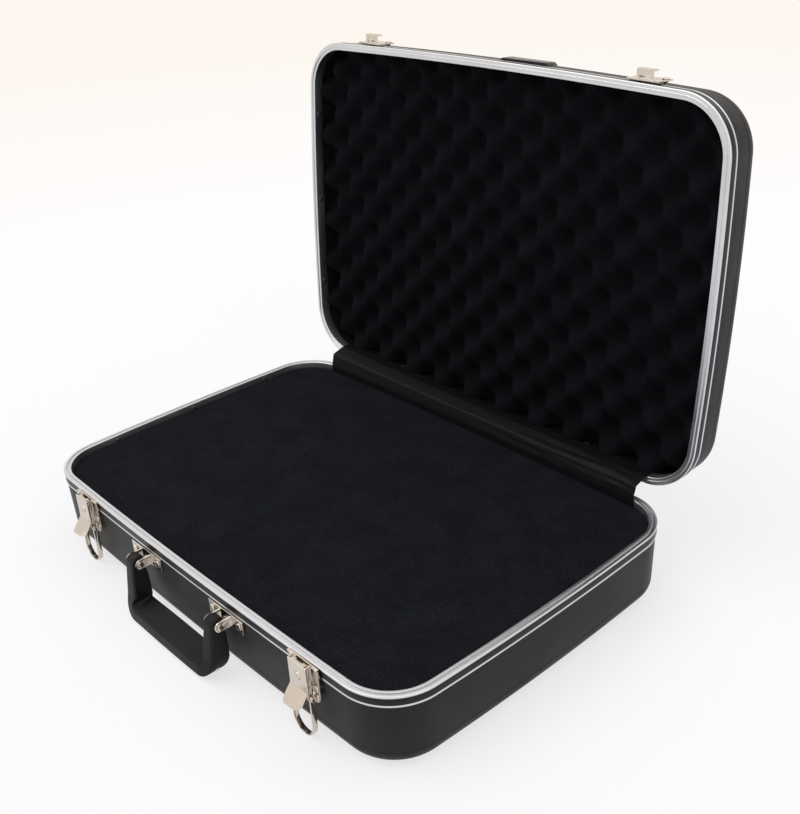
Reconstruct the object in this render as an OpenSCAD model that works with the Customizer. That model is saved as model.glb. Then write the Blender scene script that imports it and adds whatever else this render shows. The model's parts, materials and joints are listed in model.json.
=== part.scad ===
// Hard-shell laptop case: a deep moulded base and a shallower lid, each with an
// aluminium rim, foam inside, a cloth hinge flap, two draw latches and a drop handle.
// Millimetres. +Z up, +X to the right, the latches and handle face -Y.
// The origin is the centre of the flat underside of the base.
// The lid stands open on its hinge stop.

/* [Case] */
// Width over the rims
case_w = 457; // [380:1:560]
// Depth over the rims, front to back
case_d = 307; // [250:1:390]
// Corner radius of the rims
corner_r = 44; // [36:1:60]
// Height of the base, underside to rim
base_h = 62; // [56:1:110]
// Height of the lid, rim to outer face
lid_h = 41; // [38:1:80]
// How far the left and right sides bow outwards
side_bow = 4.6; // [1:0.1:8]
// How far the front and back sides bow outwards
front_bow = 4; // [1:0.1:8]
// Angle at which the lid stands open
lid_open = 94; // [85:1:100]

/* [Shell] */
// Thickness of the moulded shells
wall = 2.4; // [1.8:0.1:2.6]
// Step from the rim's outer face back to the shell's face
shell_step = 1; // [0.6:0.1:1.4]
// How far the shell walls lean in over their height
draft = 1.2; // [0:0.1:3]
// Edge rounding under the base
base_round = 12; // [6:0.5:18]
// Edge rounding of the lid's outer face
lid_round = 14; // [6:0.5:18]

/* [Rim] */
// Width of the aluminium rim, seen from above
rim_w = 6.4; // [6:0.1:8]
// Height of the rim on the outside of the case
rim_h = 9.2; // [8:0.1:14]
// Height of the bright bead at the rim's edge
bead_h = 1.8; // [1.2:0.1:2.6]
// Height of the bright lip that ends the rim
lip_h = 1.8; // [1:0.1:2.4]
// Thickness of the rim's webs
web = 1.2; // [0.8:0.1:1.3]
// Thickness of the vinyl band let into the rim
band_t = 0.7; // [0.4:0.1:0.9]
// Width of the groove that the lid's tongue enters
groove_w = 1.8; // [1.4:0.1:2.4]
// Depth of that groove
groove_d = 2; // [1.2:0.1:2.2]
// Gap between the two rims when the case is shut
parting_gap = 0.3; // [0.2:0.1:0.6]

/* [Foam] */
// Gap between the foam's edge and the rim
foam_gap = 1.6; // [1.5:0.1:4]
// Depth of the base foam's face below the rim
base_foam_drop = 5; // [4.6:0.1:20]
// Depth of the lid foam's crests below the rim
lid_foam_drop = 6; // [5:0.1:14]
// Height of the lid foam's crests over its hollows
egg_h = 17; // [8:0.5:24]
// Distance from a crest to the next hollow
egg_pitch = 20; // [16:0.5:30]

/* [Hinges] */
// Distance of each hinge's middle from the centre line
hinge_x = 130; // [90:1:150]
// Length of a hinge
hinge_len = 50; // [30:1:70]
// Distance of the hinge pin behind the rims
hinge_back = 5.4; // [4.6:0.1:8]
// Radius of the hinge pin
hinge_pin_r = 1.25; // [1:0.05:1.5]
// Radius of the hinge knuckles
knuckle_r = 2.7; // [2.4:0.1:3]
// Thickness of the hinge leaves
leaf_t = 1.5; // [1:0.1:1.8]
// Height of a hinge leaf
leaf_h = 22; // [20:0.5:30]

/* [Flap] */
// Width of the cloth flap over the hinge
flap_w = 374; // [300:1:380]
// Thickness of the flap
flap_t = 0.8; // [0.5:0.1:0.8]
// Depth to which the flap is tucked behind each rim
flap_tuck = 12; // [8:0.5:16]

/* [Latches] */
// Distance of each latch from the centre line
latch_x = 146; // [110:0.5:160]
// Width of the latch's base plate
plate_w = 31.4; // [31:0.1:40]
// Height of the base plate
plate_h = 30; // [29:0.5:40]
// Thickness of the base plate
plate_t = 1.2; // [0.8:0.1:1.4]
// Width of the lever
lever_w = 18.8; // [16:0.1:18.8]
// Height of the lever's face
lever_h = 21; // [17:0.5:21]
// Thickness of the lever's sheet metal
lever_t = 0.9; // [0.7:0.1:1]
// Length of the finger tab
tab_len = 13.5; // [9:0.5:16]
// Angle of the finger tab from the vertical
tab_angle = 53; // [40:1:62]
// Distance from the bail's pin to its far edge
bail_len = 35.6; // [33:0.1:36]
// Width of the bail's flat strip
bail_w = 4; // [3:0.1:4.4]
// Thickness of the bail's strip
bail_t = 1.1; // [0.8:0.1:1.4]
// Radius of the lever's pivot pin
pivot_r = 0.7; // [0.5:0.05:0.75]
// Radius of the bail's pin
bail_pin_r = 1; // [0.8:0.05:1.2]
// Radius of the lock's key plug
plug_r = 2.2; // [1.8:0.1:2.4]
// How far the lever swings open
lever_swing = 95; // [60:1:95]

/* [Catches] */
// Width of the hook on the lid
hook_w = 14; // [10:0.5:14.5]
// Width of the catch plate
catch_w = 28; // [27.5:0.5:38]
// Clear depth of the hook's throat
throat = 5.7; // [5.6:0.1:7]

/* [Handle] */
// Distance of each handle bracket from the centre line
bracket_x = 54.5; // [50:0.1:70]
// Width of a bracket's riveted plate
bracket_w = 42; // [40:0.5:48]
// Height of the bracket's plate
bracket_h = 11; // [10:0.5:12]
// Radius of the handle's pins
handle_pin_r = 1.5; // [1.2:0.1:2]
// Distance from the handle's pins to the middle of its grip
handle_drop = 37; // [32:0.5:38]
// Width of the handle's legs
leg_w = 10.8; // [9:0.1:12]
// Thickness of the handle's legs, front to back
leg_d = 12.6; // [10:0.1:14]
// Height of the grip bar
grip_h = 14; // [11:0.5:15]
// Depth of the grip bar, front to back
grip_d = 15; // [12:0.5:17]
// Outward lean of the hanging handle
handle_lean = 8; // [5:0.5:12]

/* [Name plate] */
// Distance of the blank plate's middle from the centre line
name_x = 30; // [0:1:60]
// Width of the blank plate
name_w = 51; // [40:1:60]
// Height of the blank plate
name_h = 11; // [8:0.5:14]
// Thickness of the blank plate
name_t = 2.4; // [1.6:0.1:3]

/* [Fasteners] */
// Radius of the rivets' shanks
rivet_r = 1.6; // [1.2:0.1:2]
// Radius of the rivets' heads
rivet_head_r = 2.9; // [2.4:0.1:3]
// Height of the rivets' heads
rivet_head_h = 0.9; // [0.5:0.1:1.1]
// Radius of the rim rivets hidden under the vinyl band
rim_rivet_r = 1.5; // [1.2:0.1:1.8]

/* [Hidden] */
$fn = 32;

black = "#1b1b1d";
foam_black = "#26272a";
bright = "#c4c7ca";
nickel = "#b9b1a2";
steel = "#9a9da1";

// Small running clearance of a pin in its hole
run_gap = 0.05;
// Clearance of a rivet in its hole
fit_gap = 0.03;
// Least gap between neighbours that move past each other
clear = 0.3;
eps = 0.01;

rim_z = base_h;
hinge_y = case_d / 2 + hinge_back;
hinge_z = rim_z + parting_gap / 2;

// Outline of the case: four shallow arcs joined by corner arcs. Every inset of
// it is concentric, so pieces that nest keep one gap all round.
side_steps = 3;
corner_steps = 8;
side_r = (pow(case_d / 2, 2) + pow(side_bow, 2)) / (2 * side_bow);
front_r = (pow(case_w / 2, 2) + pow(front_bow, 2)) / (2 * front_bow);
side_c = [case_w / 2 - side_r, 0];
front_c = [0, case_d / 2 - front_r];
reach_a = side_r - corner_r;
reach_b = front_r - corner_r;
apart = norm(front_c - side_c);
along = (pow(reach_a, 2) - pow(reach_b, 2) + pow(apart, 2)) / (2 * apart);
unit = (front_c - side_c) / apart;
corner_c = side_c + along * unit + sqrt(pow(reach_a, 2) - pow(along, 2)) * [-unit[1], unit[0]];
side_end = atan2(corner_c[1], corner_c[0] - side_c[0]);
front_end = atan2(corner_c[1] - front_c[1], corner_c[0]);

function arc(c, r, a0, a1, steps, first = 1) =
    [for (i = [first:steps]) c + r * [cos(a0 + (a1 - a0) * i / steps), sin(a0 + (a1 - a0) * i / steps)]];
function quadrant(inset) = concat(
    arc(side_c, side_r - inset, 0, side_end, side_steps, 0),
    arc(corner_c, corner_r - inset, side_end, front_end, corner_steps),
    arc(front_c, front_r - inset, front_end, 90, side_steps)
);
function flipped(points, sx, sy) = [for (p = points) [p[0] * sx, p[1] * sy]];
function backwards(points) = [for (i = [len(points) - 2:-1:0]) points[i]];
function half(inset) = concat(quadrant(inset), backwards(flipped(quadrant(inset), -1, 1)));
function outline(inset) = let (h = half(inset), b = flipped(h, -1, -1))
    concat(h, [for (i = [1:len(b) - 2]) b[i]]);
// Distance of the front or back face from the centre line, at a given x
function front_y(x, inset = 0) = case_d / 2 - front_r + sqrt(pow(front_r - inset, 2) - x * x);
// The same with the corner arcs
function edge_y(x, inset) = x > corner_c[0]
    ? corner_c[1] + sqrt(max(0, pow(corner_r - inset, 2) - pow(x - corner_c[0], 2)))
    : front_y(x, inset);
// Distance of a side face from the middle, at a given y
function side_x(y, inset = 0) = case_w / 2 - side_r + sqrt(pow(side_r - inset, 2) - y * y);

// Solid swept through rings of the outline, each given as [inset, z]
module swept(rings) {
    n = len(outline(0));
    points = [for (r = rings) for (p = outline(r[0])) [p[0], p[1], r[1]]];
    walls = [for (k = [0:len(rings) - 2]) for (i = [0:n - 1])
        [k * n + i, (k + 1) * n + i, (k + 1) * n + (i + 1) % n, k * n + (i + 1) % n]];
    foot = [for (i = [0:n - 1]) i];
    top = [for (i = [n - 1:-1:0]) (len(rings) - 1) * n + i];
    polyhedron(points, concat(walls, [foot, top]), convexity = 6);
}

// Flat ring between two insets of the outline
module ring(outer, inner, z0, z1) {
    translate([0, 0, z0]) linear_extrude(z1 - z0) difference() {
        polygon(outline(outer));
        polygon(outline(inner));
    }
}

// Half shell that opens downwards from z = 0, with its outer face at height h
slot_outer = shell_step + web + 0.3;
slot_top = bead_h + web + 0.2;
joggle_end = rim_h + wall + 0.2;
round_steps = 5;
function rounding(inset, h, r) = [for (i = [0:round_steps]) let (a = 90 * i / round_steps)
    [inset + r * (1 - cos(a)), h - r + r * sin(a)]];
module half_shell(h, edge_r) {
    top_inset = shell_step + draft;
    outer = concat(
        [[slot_outer, slot_top], [slot_outer, rim_h + 0.2], [shell_step, rim_h + 0.2]],
        rounding(top_inset, h, edge_r));
    inner = concat(
        [[slot_outer + wall, slot_top], [slot_outer + wall, rim_h + 0.6], [shell_step + wall, joggle_end]],
        rounding(top_inset + wall, h - wall, edge_r - wall));
    swept(concat([for (i = [len(outer) - 1:-1:0]) outer[i]], inner));
}

// Rim extrusion over a shell edge, its face at z = 0 and its webs running up
module rim_body() {
    ring(0, rim_w, 0, bead_h);
    ring(shell_step, rim_w, 0, bead_h + web);
    ring(shell_step, shell_step + web, web, rim_h);
    ring(0.2, shell_step + web, rim_h - lip_h, rim_h);
    ring(rim_w - web, rim_w, web, rim_h);
}
module vinyl_band() {
    color(black) ring(shell_step - band_t, shell_step, bead_h, rim_h - lip_h);
}
tongue_mid = rim_w / 2;
rim_rivet_z = (bead_h + rim_h - lip_h) / 2 + 0.4;
rim_rivet_front = [-case_w * 0.2, 0, case_w * 0.2];
rim_rivet_side = [-case_d * 0.27, 0, case_d * 0.27];
// Cylinders through both webs at the rim rivets' places
module rim_rivet_bars(r, from, to) {
    for (x = rim_rivet_front) translate([x, -front_y(x) + from, rim_rivet_z])
        rotate([-90, 0, 0]) cylinder(r = r, h = to - from);
    for (y = rim_rivet_side, s = [-1, 1]) translate([s * (side_x(y) - from), y, rim_rivet_z])
        rotate([0, -90 * s, 0]) cylinder(r = r, h = to - from);
}
rim_rivet_tail = 0.9;
module rim_rivets() {
    color(steel) {
        rim_rivet_bars(rim_rivet_r, shell_step + 0.2, rim_w + rim_rivet_tail);
        rim_rivet_bars(rim_rivet_r + 0.9, rim_w + 0.15, rim_w + rim_rivet_tail);
    }
}
module rim_rivet_holes() {
    rim_rivet_bars(rim_rivet_r + fit_gap, -1, rim_w + 2);
}

// Places of the halves: the base hangs below the rim, the lid is swung open
module base_side() {
    translate([0, 0, rim_z]) mirror([0, 0, 1]) children();
}
module opened() {
    translate([0, hinge_y, hinge_z]) rotate([-lid_open, 0, 0]) translate([0, -hinge_y, -hinge_z]) children();
}
module lid_side() {
    opened() translate([0, 0, rim_z + parting_gap]) children();
}

// Rivet along Y with its head at the front: the pack of sheets starts at
// y = 0 and is grip thick
module rivet(grip) {
    rotate([-90, 0, 0]) {
        translate([0, 0, -rivet_head_h]) cylinder(r = rivet_head_r, h = rivet_head_h);
        translate([0, 0, -eps]) cylinder(r = rivet_r, h = grip + 2 * eps);
        translate([0, 0, grip]) cylinder(r = rivet_head_r, h = rivet_head_h);
    }
}
// Grip of a rivet at x, z whose sheets start at front: up to the shell's inner face
function shell_grip(x, z, front, straight) =
    front - front_y(abs(x) + rivet_head_r, shell_face(z + rivet_head_r, straight) + wall) + 0.1;
module rivet_hole() {
    translate([0, -10, 0]) rotate([-90, 0, 0]) cylinder(r = rivet_r + fit_gap, h = 30);
}
// Both side copies of a fitting that sits at x on the front
module pair(x) {
    for (s = [-1, 1]) translate([s * x, 0, 0]) children();
}

// Depth of a shell's outer face behind the rim's outer face, at height z from the rim
base_straight = base_h - base_round - rim_h;
lid_straight = lid_h - lid_round - rim_h;
function shell_face(z, straight) = shell_step + draft * max(0, z - rim_h) / straight;

/* Latches, in a frame with z = 0 at the rim and y = 0 at the case's middle */
plate_back = -(front_y(latch_x - plate_w / 2) + clear);
plate_front = plate_back - plate_t;
lever_back = plate_front - 0.7;
lever_front = lever_back - 4.7;
ear_gap = 0.3;
ear_end_r = 1.15;
ear_out = lever_w / 2 - lever_t - ear_gap;
pivot_y = lever_front + lever_t + ear_end_r + 0.25;
pivot_z = -1.9;
bail_y = lever_back - bail_w / 2 - 0.6;
bail_z = -(lever_h + 4.6);
plate_corner = 6;
latch_rivets_at = [for (sx = [-1, 1], z = [-(rim_h + 8.2), -(plate_h - 5)]) [sx * (plate_w / 2 - 3.2), z]];
lock_z = -lever_h / 2;
lock_body_r = plug_r + 1.9;

module at_latch(s) {
    translate([s * latch_x, 0, rim_z]) children();
}
module x_rod(r, x0, x1, y, z) {
    translate([x0, y, z]) rotate([0, 90, 0]) cylinder(r = r, h = x1 - x0);
}
ledge_w = (plate_w - lever_w) / 2 - 0.5;
module latch_plate(s) {
    color(nickel) at_latch(s) difference() {
        union() {
            translate([-plate_w / 2, plate_front, -plate_h + plate_corner]) cube([plate_w, plate_t, plate_h - plate_corner]);
            translate([-plate_w / 2 + plate_corner, plate_front, -plate_h])
                cube([plate_w - 2 * plate_corner, plate_t, plate_corner + eps]);
            for (sx = [-1, 1]) translate([sx * (plate_w / 2 - plate_corner), plate_front, -plate_h + plate_corner])
                rotate([-90, 0, 0]) cylinder(r = plate_corner, h = plate_t);
            // Ledges folded forward along the top edge, left and right of the lever
            for (sx = [-1, 1]) translate([sx * (plate_w / 2 - ledge_w / 2) - ledge_w / 2, plate_front - 1, -plate_t])
                cube([ledge_w, 1 + eps, plate_t]);
            // Ears that hold the lever's pivot pin
            for (sx = [-1, 1]) translate([sx * (ear_out - plate_t / 2) - plate_t / 2, 0, 0]) {
                translate([0, pivot_y, pivot_z - 1]) cube([plate_t, plate_front - pivot_y + eps, 2]);
                x_rod(ear_end_r, 0, plate_t, pivot_y, pivot_z);
            }
        }
        x_rod(pivot_r + fit_gap, -plate_w, plate_w, pivot_y, pivot_z);
        for (p = latch_rivets_at) translate([p[0], plate_front, p[1]]) rivet_hole();
    }
}
module lever_pivot_pin(s) {
    color(steel) at_latch(s) x_rod(pivot_r, -(lever_w / 2 - 0.1), lever_w / 2 - 0.1, pivot_y, pivot_z);
}
module tab_shape() {
    r = 6;
    translate([-lever_w / 2, -1]) square([lever_w, tab_len - r + 1]);
    translate([-lever_w / 2 + r, -1]) square([lever_w - 2 * r, tab_len + 1]);
    for (sx = [-1, 1]) translate([sx * (lever_w / 2 - r), tab_len - r]) circle(r = r);
}
module latch_lever(s) {
    color(nickel) at_latch(s) difference() {
        union() {
            translate([-lever_w / 2, lever_front, -lever_h]) cube([lever_w, lever_t, lever_h]);
            translate([-lever_w / 2, lever_front, -lever_t]) cube([lever_w, lever_back - lever_front, lever_t]);
            for (sx = [-1, 1]) translate([sx * (lever_w / 2 - lever_t / 2) - lever_t / 2, 0, 0]) {
                translate([0, lever_front, -lever_h]) cube([lever_t, lever_back - lever_front, lever_h]);
                translate([0, bail_y - 2.1, bail_z]) cube([lever_t, 4.2, -bail_z - lever_h + eps]);
                x_rod(2.1, 0, lever_t, bail_y, bail_z);
            }
            // Finger tab, flaring outwards below the lever's face
            translate([0, lever_front, -lever_h]) rotate([-90 - tab_angle, 0, 0]) linear_extrude(lever_t) tab_shape();
        }
        x_rod(pivot_r + run_gap, -plate_w, plate_w, pivot_y, pivot_z);
        x_rod(bail_pin_r + fit_gap, -plate_w, plate_w, bail_y, bail_z);
        translate([0, lever_front - 1, lock_z]) rotate([-90, 0, 0]) cylinder(r = plug_r + 0.85, h = 3 + lever_t);
        // Slots for the plate's ears, and a bevel that lets the top swing past the plate
        for (sx = [-1, 1]) translate([sx * (ear_out - plate_t / 2 + 0.02) - plate_t / 2 - 0.28, lever_front + lever_t, -lever_t - 1])
            cube([plate_t + 0.56, 9, 2 + lever_t]);
        translate([-lever_w, lever_back - 0.6, -lever_t]) cube([2 * lever_w, 2, 2]);
        // Finger notch in the top
        translate([-3.6, lever_back - 2, -lever_t - 1]) cube([7.2, 3, 2 + lever_t]);
    }
}
module bail_pin(s) {
    reach = lever_w / 2 + 0.5 + bail_t + 0.2;
    color(steel) at_latch(s) {
        x_rod(bail_pin_r, -reach, reach, bail_y, bail_z);
        for (sx = [-1, 1]) x_rod(bail_pin_r + 0.7, sx * (reach + 0.4) - 0.4, sx * (reach + 0.4) + 0.4, bail_y, bail_z);
    }
}
bail_in = lever_w / 2 + 0.5;
bail_out = bail_in + bail_t;
bail_turn_z = bail_z - bail_len + bail_out;
module latch_bail(s) {
    color(nickel) at_latch(s) difference() {
        union() {
            for (sx = [-1, 1]) {
                translate([sx * (bail_in + bail_t / 2) - bail_t / 2, bail_y - bail_w / 2, bail_turn_z])
                    cube([bail_t, bail_w, bail_z - bail_turn_z]);
                x_rod(bail_w / 2, sx * (bail_in + bail_t / 2) - bail_t / 2, sx * (bail_in + bail_t / 2) + bail_t / 2,
                    bail_y, bail_z);
            }
            translate([0, bail_y + bail_w / 2, bail_turn_z]) rotate([90, 0, 0]) linear_extrude(bail_w) difference() {
                circle(r = bail_out, $fn = 64);
                circle(r = bail_in, $fn = 64);
                translate([-bail_out - 1, 0]) square([2 * bail_out + 2, bail_out + 1]);
            }
        }
        x_rod(bail_pin_r + run_gap, -plate_w, plate_w, bail_y, bail_z);
    }
}
module y_rod(r, y0, y1, z) {
    translate([0, y0, z]) rotate([-90, 0, 0]) cylinder(r = r, h = y1 - y0);
}
lock_front = lever_front - 0.5;
lock_back = lever_back - 0.4;
module lock_body(s) {
    color(nickel) at_latch(s) difference() {
        union() {
            y_rod(plug_r + 0.82, lock_front, lever_front + lever_t + 0.5, lock_z);
            y_rod(lock_body_r, lever_front + lever_t, lock_back, lock_z);
        }
        y_rod(plug_r + run_gap, lock_front - 1, lock_back + 1, lock_z);
    }
}
module lock_plug(s) {
    color(steel) at_latch(s) difference() {
        union() {
            y_rod(plug_r, lock_front - 0.1, lock_back + 0.1, lock_z);
            y_rod(plug_r + 0.6, lock_back + 0.1, lock_back + 0.7, lock_z);
            translate([-1.8, lock_back + 0.1, lock_z - 6]) cube([3.6, 0.6, 6]);
        }
        // Key slot
        translate([-0.4, lock_front - 1, lock_z - 1.3]) cube([0.8, 3, 2.6]);
    }
}
module latch_rivets() {
    color(steel) for (s = [-1, 1]) at_latch(s) for (p = latch_rivets_at)
        translate([p[0], plate_front, p[1]]) rivet(shell_grip(s * latch_x + p[0], -p[1], -plate_front, base_straight));
}

/* Catches on the lid: z = 0 at the rim, seen with the lid shut */
catch_back = -(front_y(latch_x - catch_w / 2) + clear);
catch_front = catch_back - plate_t;
catch_z0 = 5;
catch_h = 17;
// The shut bail's inner edge pulls down on the arm's upper face
arm_top = bail_len - bail_t + bail_z - parting_gap;
lip_h_hook = 5;
module catch_plate(s) {
    color(nickel) lid_side() translate([s * latch_x, 0, 0]) difference() {
        union() {
            translate([-catch_w / 2, catch_front, catch_z0]) cube([catch_w, plate_t, catch_h]);
            translate([-hook_w / 2, catch_front - throat, arm_top - plate_t]) cube([hook_w, throat + eps, plate_t]);
            translate([-hook_w / 2, catch_front - throat - plate_t, arm_top - plate_t])
                cube([hook_w, plate_t + eps, lip_h_hook + plate_t]);
            // Rolled nose of the lip
            x_rod(plate_t / 2, -hook_w / 2, hook_w / 2, catch_front - throat - plate_t / 2, arm_top + lip_h_hook);
        }
        for (sx = [-1, 1]) translate([sx * catch_rivet_x, catch_front, catch_rivet_z]) rivet_hole();
        // Window at the root of the arm
        translate([-hook_w / 2 + 2.4, catch_front - 2.6, arm_top - plate_t - 1]) cube([hook_w - 4.8, 2.6 + eps, plate_t + 2]);
    }
}
catch_rivet_x = catch_w / 2 - 3.2;
catch_rivet_z = catch_z0 + catch_h - 4;
module catch_rivets() {
    color(steel) lid_side() for (s = [-1, 1], sx = [-1, 1])
        translate([s * latch_x + sx * catch_rivet_x, catch_front, catch_rivet_z])
            rivet(shell_grip(s * latch_x + sx * catch_rivet_x, catch_rivet_z, -catch_front, lid_straight));
}

/* Blank name plate on the lid's front */
name_z = rim_h + 1.2;
name_back = -(front_y(name_x - name_w / 2, shell_step) + 0.1);
module name_plate() {
    slope = 3;
    color(black) lid_side() difference() {
        translate([name_x, name_back, name_z]) linear_extrude(name_h)
            polygon([[-name_w / 2, 0], [-name_w / 2 + slope, -name_t], [name_w / 2 - slope, -name_t], [name_w / 2, 0]]);
        for (x = name_rivets_x) translate([x, name_back, name_z + name_h / 2]) rotate([-90, 0, 0])
            translate([0, 0, -name_t / 2]) cylinder(r = rivet_r + fit_gap, h = name_t);
    }
}
name_rivets_x = [name_x - name_w / 2 + 9, name_x + name_w / 2 - 9];
// Studs set in the back of the plate and clinched inside the shell
module name_plate_rivets() {
    color(steel) lid_side() for (x = name_rivets_x) translate([x, name_back - name_t / 2, name_z + name_h / 2]) {
        grip = shell_grip(x, name_z + name_h / 2, name_t / 2 - name_back, lid_straight);
        rotate([-90, 0, 0]) cylinder(r = rivet_r, h = grip + eps);
        translate([0, grip, 0]) rotate([-90, 0, 0]) cylinder(r = rivet_head_r, h = rivet_head_h);
    }
}

/* Hinges: frame with the pin at the origin and the case shut */
leaf_front = front_y(hinge_x - hinge_len / 2) + clear - hinge_y;
knuckles = 5;
knuckle_len = hinge_len / knuckles;
leaf_rivet_x = hinge_len / 2 - 9;
leaf_rivet_z = leaf_h - 6;
module at_hinge(s) {
    translate([s * hinge_x, hinge_y, hinge_z]) children();
}
// Leaf that runs down from the pin; knuckle indexes start at first, every other one
module hinge_leaf(first) {
    difference() {
        union() {
            translate([-hinge_len / 2, leaf_front, -leaf_h]) cube([hinge_len, leaf_t, leaf_h - knuckle_r + leaf_t]);
            for (k = [first:2:knuckles - 1]) translate([-hinge_len / 2 + k * knuckle_len + 0.15, 0, 0]) {
                translate([0, leaf_front, -knuckle_r]) cube([knuckle_len - 0.3, -leaf_front, leaf_t]);
                x_rod(knuckle_r, 0, knuckle_len - 0.3, 0, 0);
            }
        }
        x_rod(hinge_pin_r + run_gap, -hinge_len, hinge_len, 0, 0);
        for (sx = [-1, 1]) translate([sx * leaf_rivet_x, 0, -leaf_rivet_z]) rivet_hole();
    }
}
module hinge_base_leaf(s) {
    color(steel) at_hinge(s) hinge_leaf(0);
}
module hinge_lid_leaf(s) {
    color(steel) opened() at_hinge(s) mirror([0, 0, 1]) hinge_leaf(1);
}
module hinge_pin(s) {
    color(steel) at_hinge(s) {
        x_rod(hinge_pin_r, -hinge_len / 2 - 0.2, hinge_len / 2 + 0.2, 0, 0);
        for (sx = [-1, 1]) x_rod(hinge_pin_r + 0.8, sx * (hinge_len / 2 + 0.5) - 0.4, sx * (hinge_len / 2 + 0.5) + 0.4, 0, 0);
    }
}
module hinge_rivets(straight) {
    outside = hinge_y + leaf_front + leaf_t;
    color(steel) for (s = [-1, 1], sx = [-1, 1])
        translate([s * hinge_x + sx * leaf_rivet_x, outside, hinge_z - leaf_rivet_z])
            mirror([0, 1, 0]) rivet(shell_grip(s * hinge_x + sx * leaf_rivet_x, leaf_rivet_z, outside, straight));
}
// Holes through the shell's rear wall, for either half
module hinge_holes() {
    for (s = [-1, 1], sx = [-1, 1])
        translate([s * hinge_x + sx * leaf_rivet_x, hinge_y + leaf_front, leaf_rivet_z - parting_gap / 2]) rivet_hole();
}

/* Cloth flap: bows round the hinge pin between the two rims, tucked in at both */
flap_steps = 32;
flap_turns = 9;
// Soft cockles, stronger towards the right-hand end
function cockle(x) = 0.45 * (1 + sin(x * 9 + 30 * sin(x * 2))) * (0.6 + 0.4 * x / (flap_w / 2));
function flap_r(x) = hinge_y - edge_y(abs(x), rim_w) + clear + flap_t / 2 + 0.1;
function flap_arc(x, side) = [for (i = [0:flap_turns]) let (a = 180 - lid_open * i / flap_turns,
    r = flap_r(x) + side * flap_t / 2 + cockle(x) * sin(180 * i / flap_turns)) [x, r * cos(a), r * sin(a)]];
function flap_line(x, side) = let (r = flap_r(x) + side * flap_t / 2) concat(
    [[x, -r, -flap_tuck]],
    flap_arc(x, side),
    [[x, r * cos(180 - lid_open) + flap_tuck * sin(lid_open), r * sin(lid_open) + flap_tuck * cos(lid_open)]]);
function flap_section(x) = let (inner = flap_line(x, -1), outer = flap_line(x, 1))
    concat(outer, [for (i = [len(inner) - 1:-1:0]) inner[i]]);
module hinge_flap() {
    sections = [for (i = [0:flap_steps]) flap_section(-flap_w / 2 + flap_w * i / flap_steps)];
    n = len(sections[0]);
    sides = [for (k = [0:flap_steps - 1]) for (i = [0:n - 1]) let (j = (i + 1) % n)
        each [[k * n + i, (k + 1) * n + j, (k + 1) * n + i], [k * n + i, k * n + j, (k + 1) * n + j]]];
    strip = [for (i = [0:n / 2 - 2]) [i, i + 1, n - 2 - i, n - 1 - i]];
    near = [for (q = strip) each [[q[0], q[2], q[1]], [q[0], q[3], q[2]]]];
    far = [for (q = strip) each [[flap_steps * n + q[0], flap_steps * n + q[1], flap_steps * n + q[2]],
        [flap_steps * n + q[0], flap_steps * n + q[2], flap_steps * n + q[3]]]];
    color(black) translate([0, hinge_y, hinge_z])
        polyhedron([for (s = sections) each s], concat(sides, near, far), convexity = 6);
}

/* Handle and its brackets: the pin lies along X at pin_y, pin_z */
bracket_top = -(rim_h + 0.8);
bracket_mid = bracket_top - bracket_h / 2;
bracket_back = -(front_y(bracket_x - bracket_w / 2, shell_step) + 0.1);
bracket_t = 1.4;
bracket_front = bracket_back - bracket_t;
pin_y = bracket_front - leg_d / 2 - 3.5;
pin_z = bracket_mid;
ear_in = leg_w / 2 + 0.4;
ear_t = 1.5;
ear_r = 4;
bracket_rivet_x = bracket_w / 2 - 4.5;
module at_bracket(s) {
    translate([s * bracket_x, 0, rim_z]) children();
}
module handle_bracket(s) {
    color(nickel) at_bracket(s) difference() {
        union() {
            translate([-bracket_w / 2, bracket_front, bracket_mid - bracket_h / 2]) cube([bracket_w, bracket_t, bracket_h]);
            for (sx = [-1, 1]) translate([sx * (ear_in + ear_t / 2) - ear_t / 2, 0, 0]) {
                translate([0, pin_y, pin_z - ear_r]) cube([ear_t, bracket_front - pin_y + eps, 2 * ear_r]);
                x_rod(ear_r, 0, ear_t, pin_y, pin_z);
            }
        }
        x_rod(handle_pin_r + fit_gap, -bracket_w, bracket_w, pin_y, pin_z);
        for (sx = [-1, 1]) translate([sx * bracket_rivet_x, bracket_front, bracket_mid]) rivet_hole();
    }
}
module handle_bracket_rivets() {
    color(steel) for (s = [-1, 1]) at_bracket(s) for (sx = [-1, 1])
        translate([sx * bracket_rivet_x, bracket_front, bracket_mid])
            rivet(shell_grip(s * bracket_x + sx * bracket_rivet_x, -bracket_mid, -bracket_front, base_straight));
}
module handle_pin(s) {
    reach = ear_in + ear_t + 0.1;
    color(steel) at_bracket(s) {
        x_rod(handle_pin_r, -reach, reach, pin_y, pin_z);
        for (sx = [-1, 1]) x_rod(handle_pin_r + 1, sx * (reach + 0.5) - 0.5, sx * (reach + 0.5) + 0.5, pin_y, pin_z);
    }
}
// Rounded rectangle centred on x, from z0 up to z1
module round_rect(w, z0, z1, r) {
    translate([-w / 2 + r, z0]) square([w - 2 * r, z1 - z0]);
    translate([-w / 2, z0 + r]) square([w, z1 - z0 - 2 * r]);
    for (sx = [-1, 1], z = [z0 + r, z1 - r]) translate([sx * (w / 2 - r), z]) circle(r = r);
}
handle_w = 2 * bracket_x + leg_w;
core_t = 3;
core_w = 7;
core_eye_r = 3.4;
grip_bottom = -(handle_drop + grip_h / 2);
grip_top = -(handle_drop - grip_h / 2);
module at_handle() {
    translate([0, pin_y, rim_z + pin_z]) rotate([-handle_lean, 0, 0]) children();
}
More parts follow.
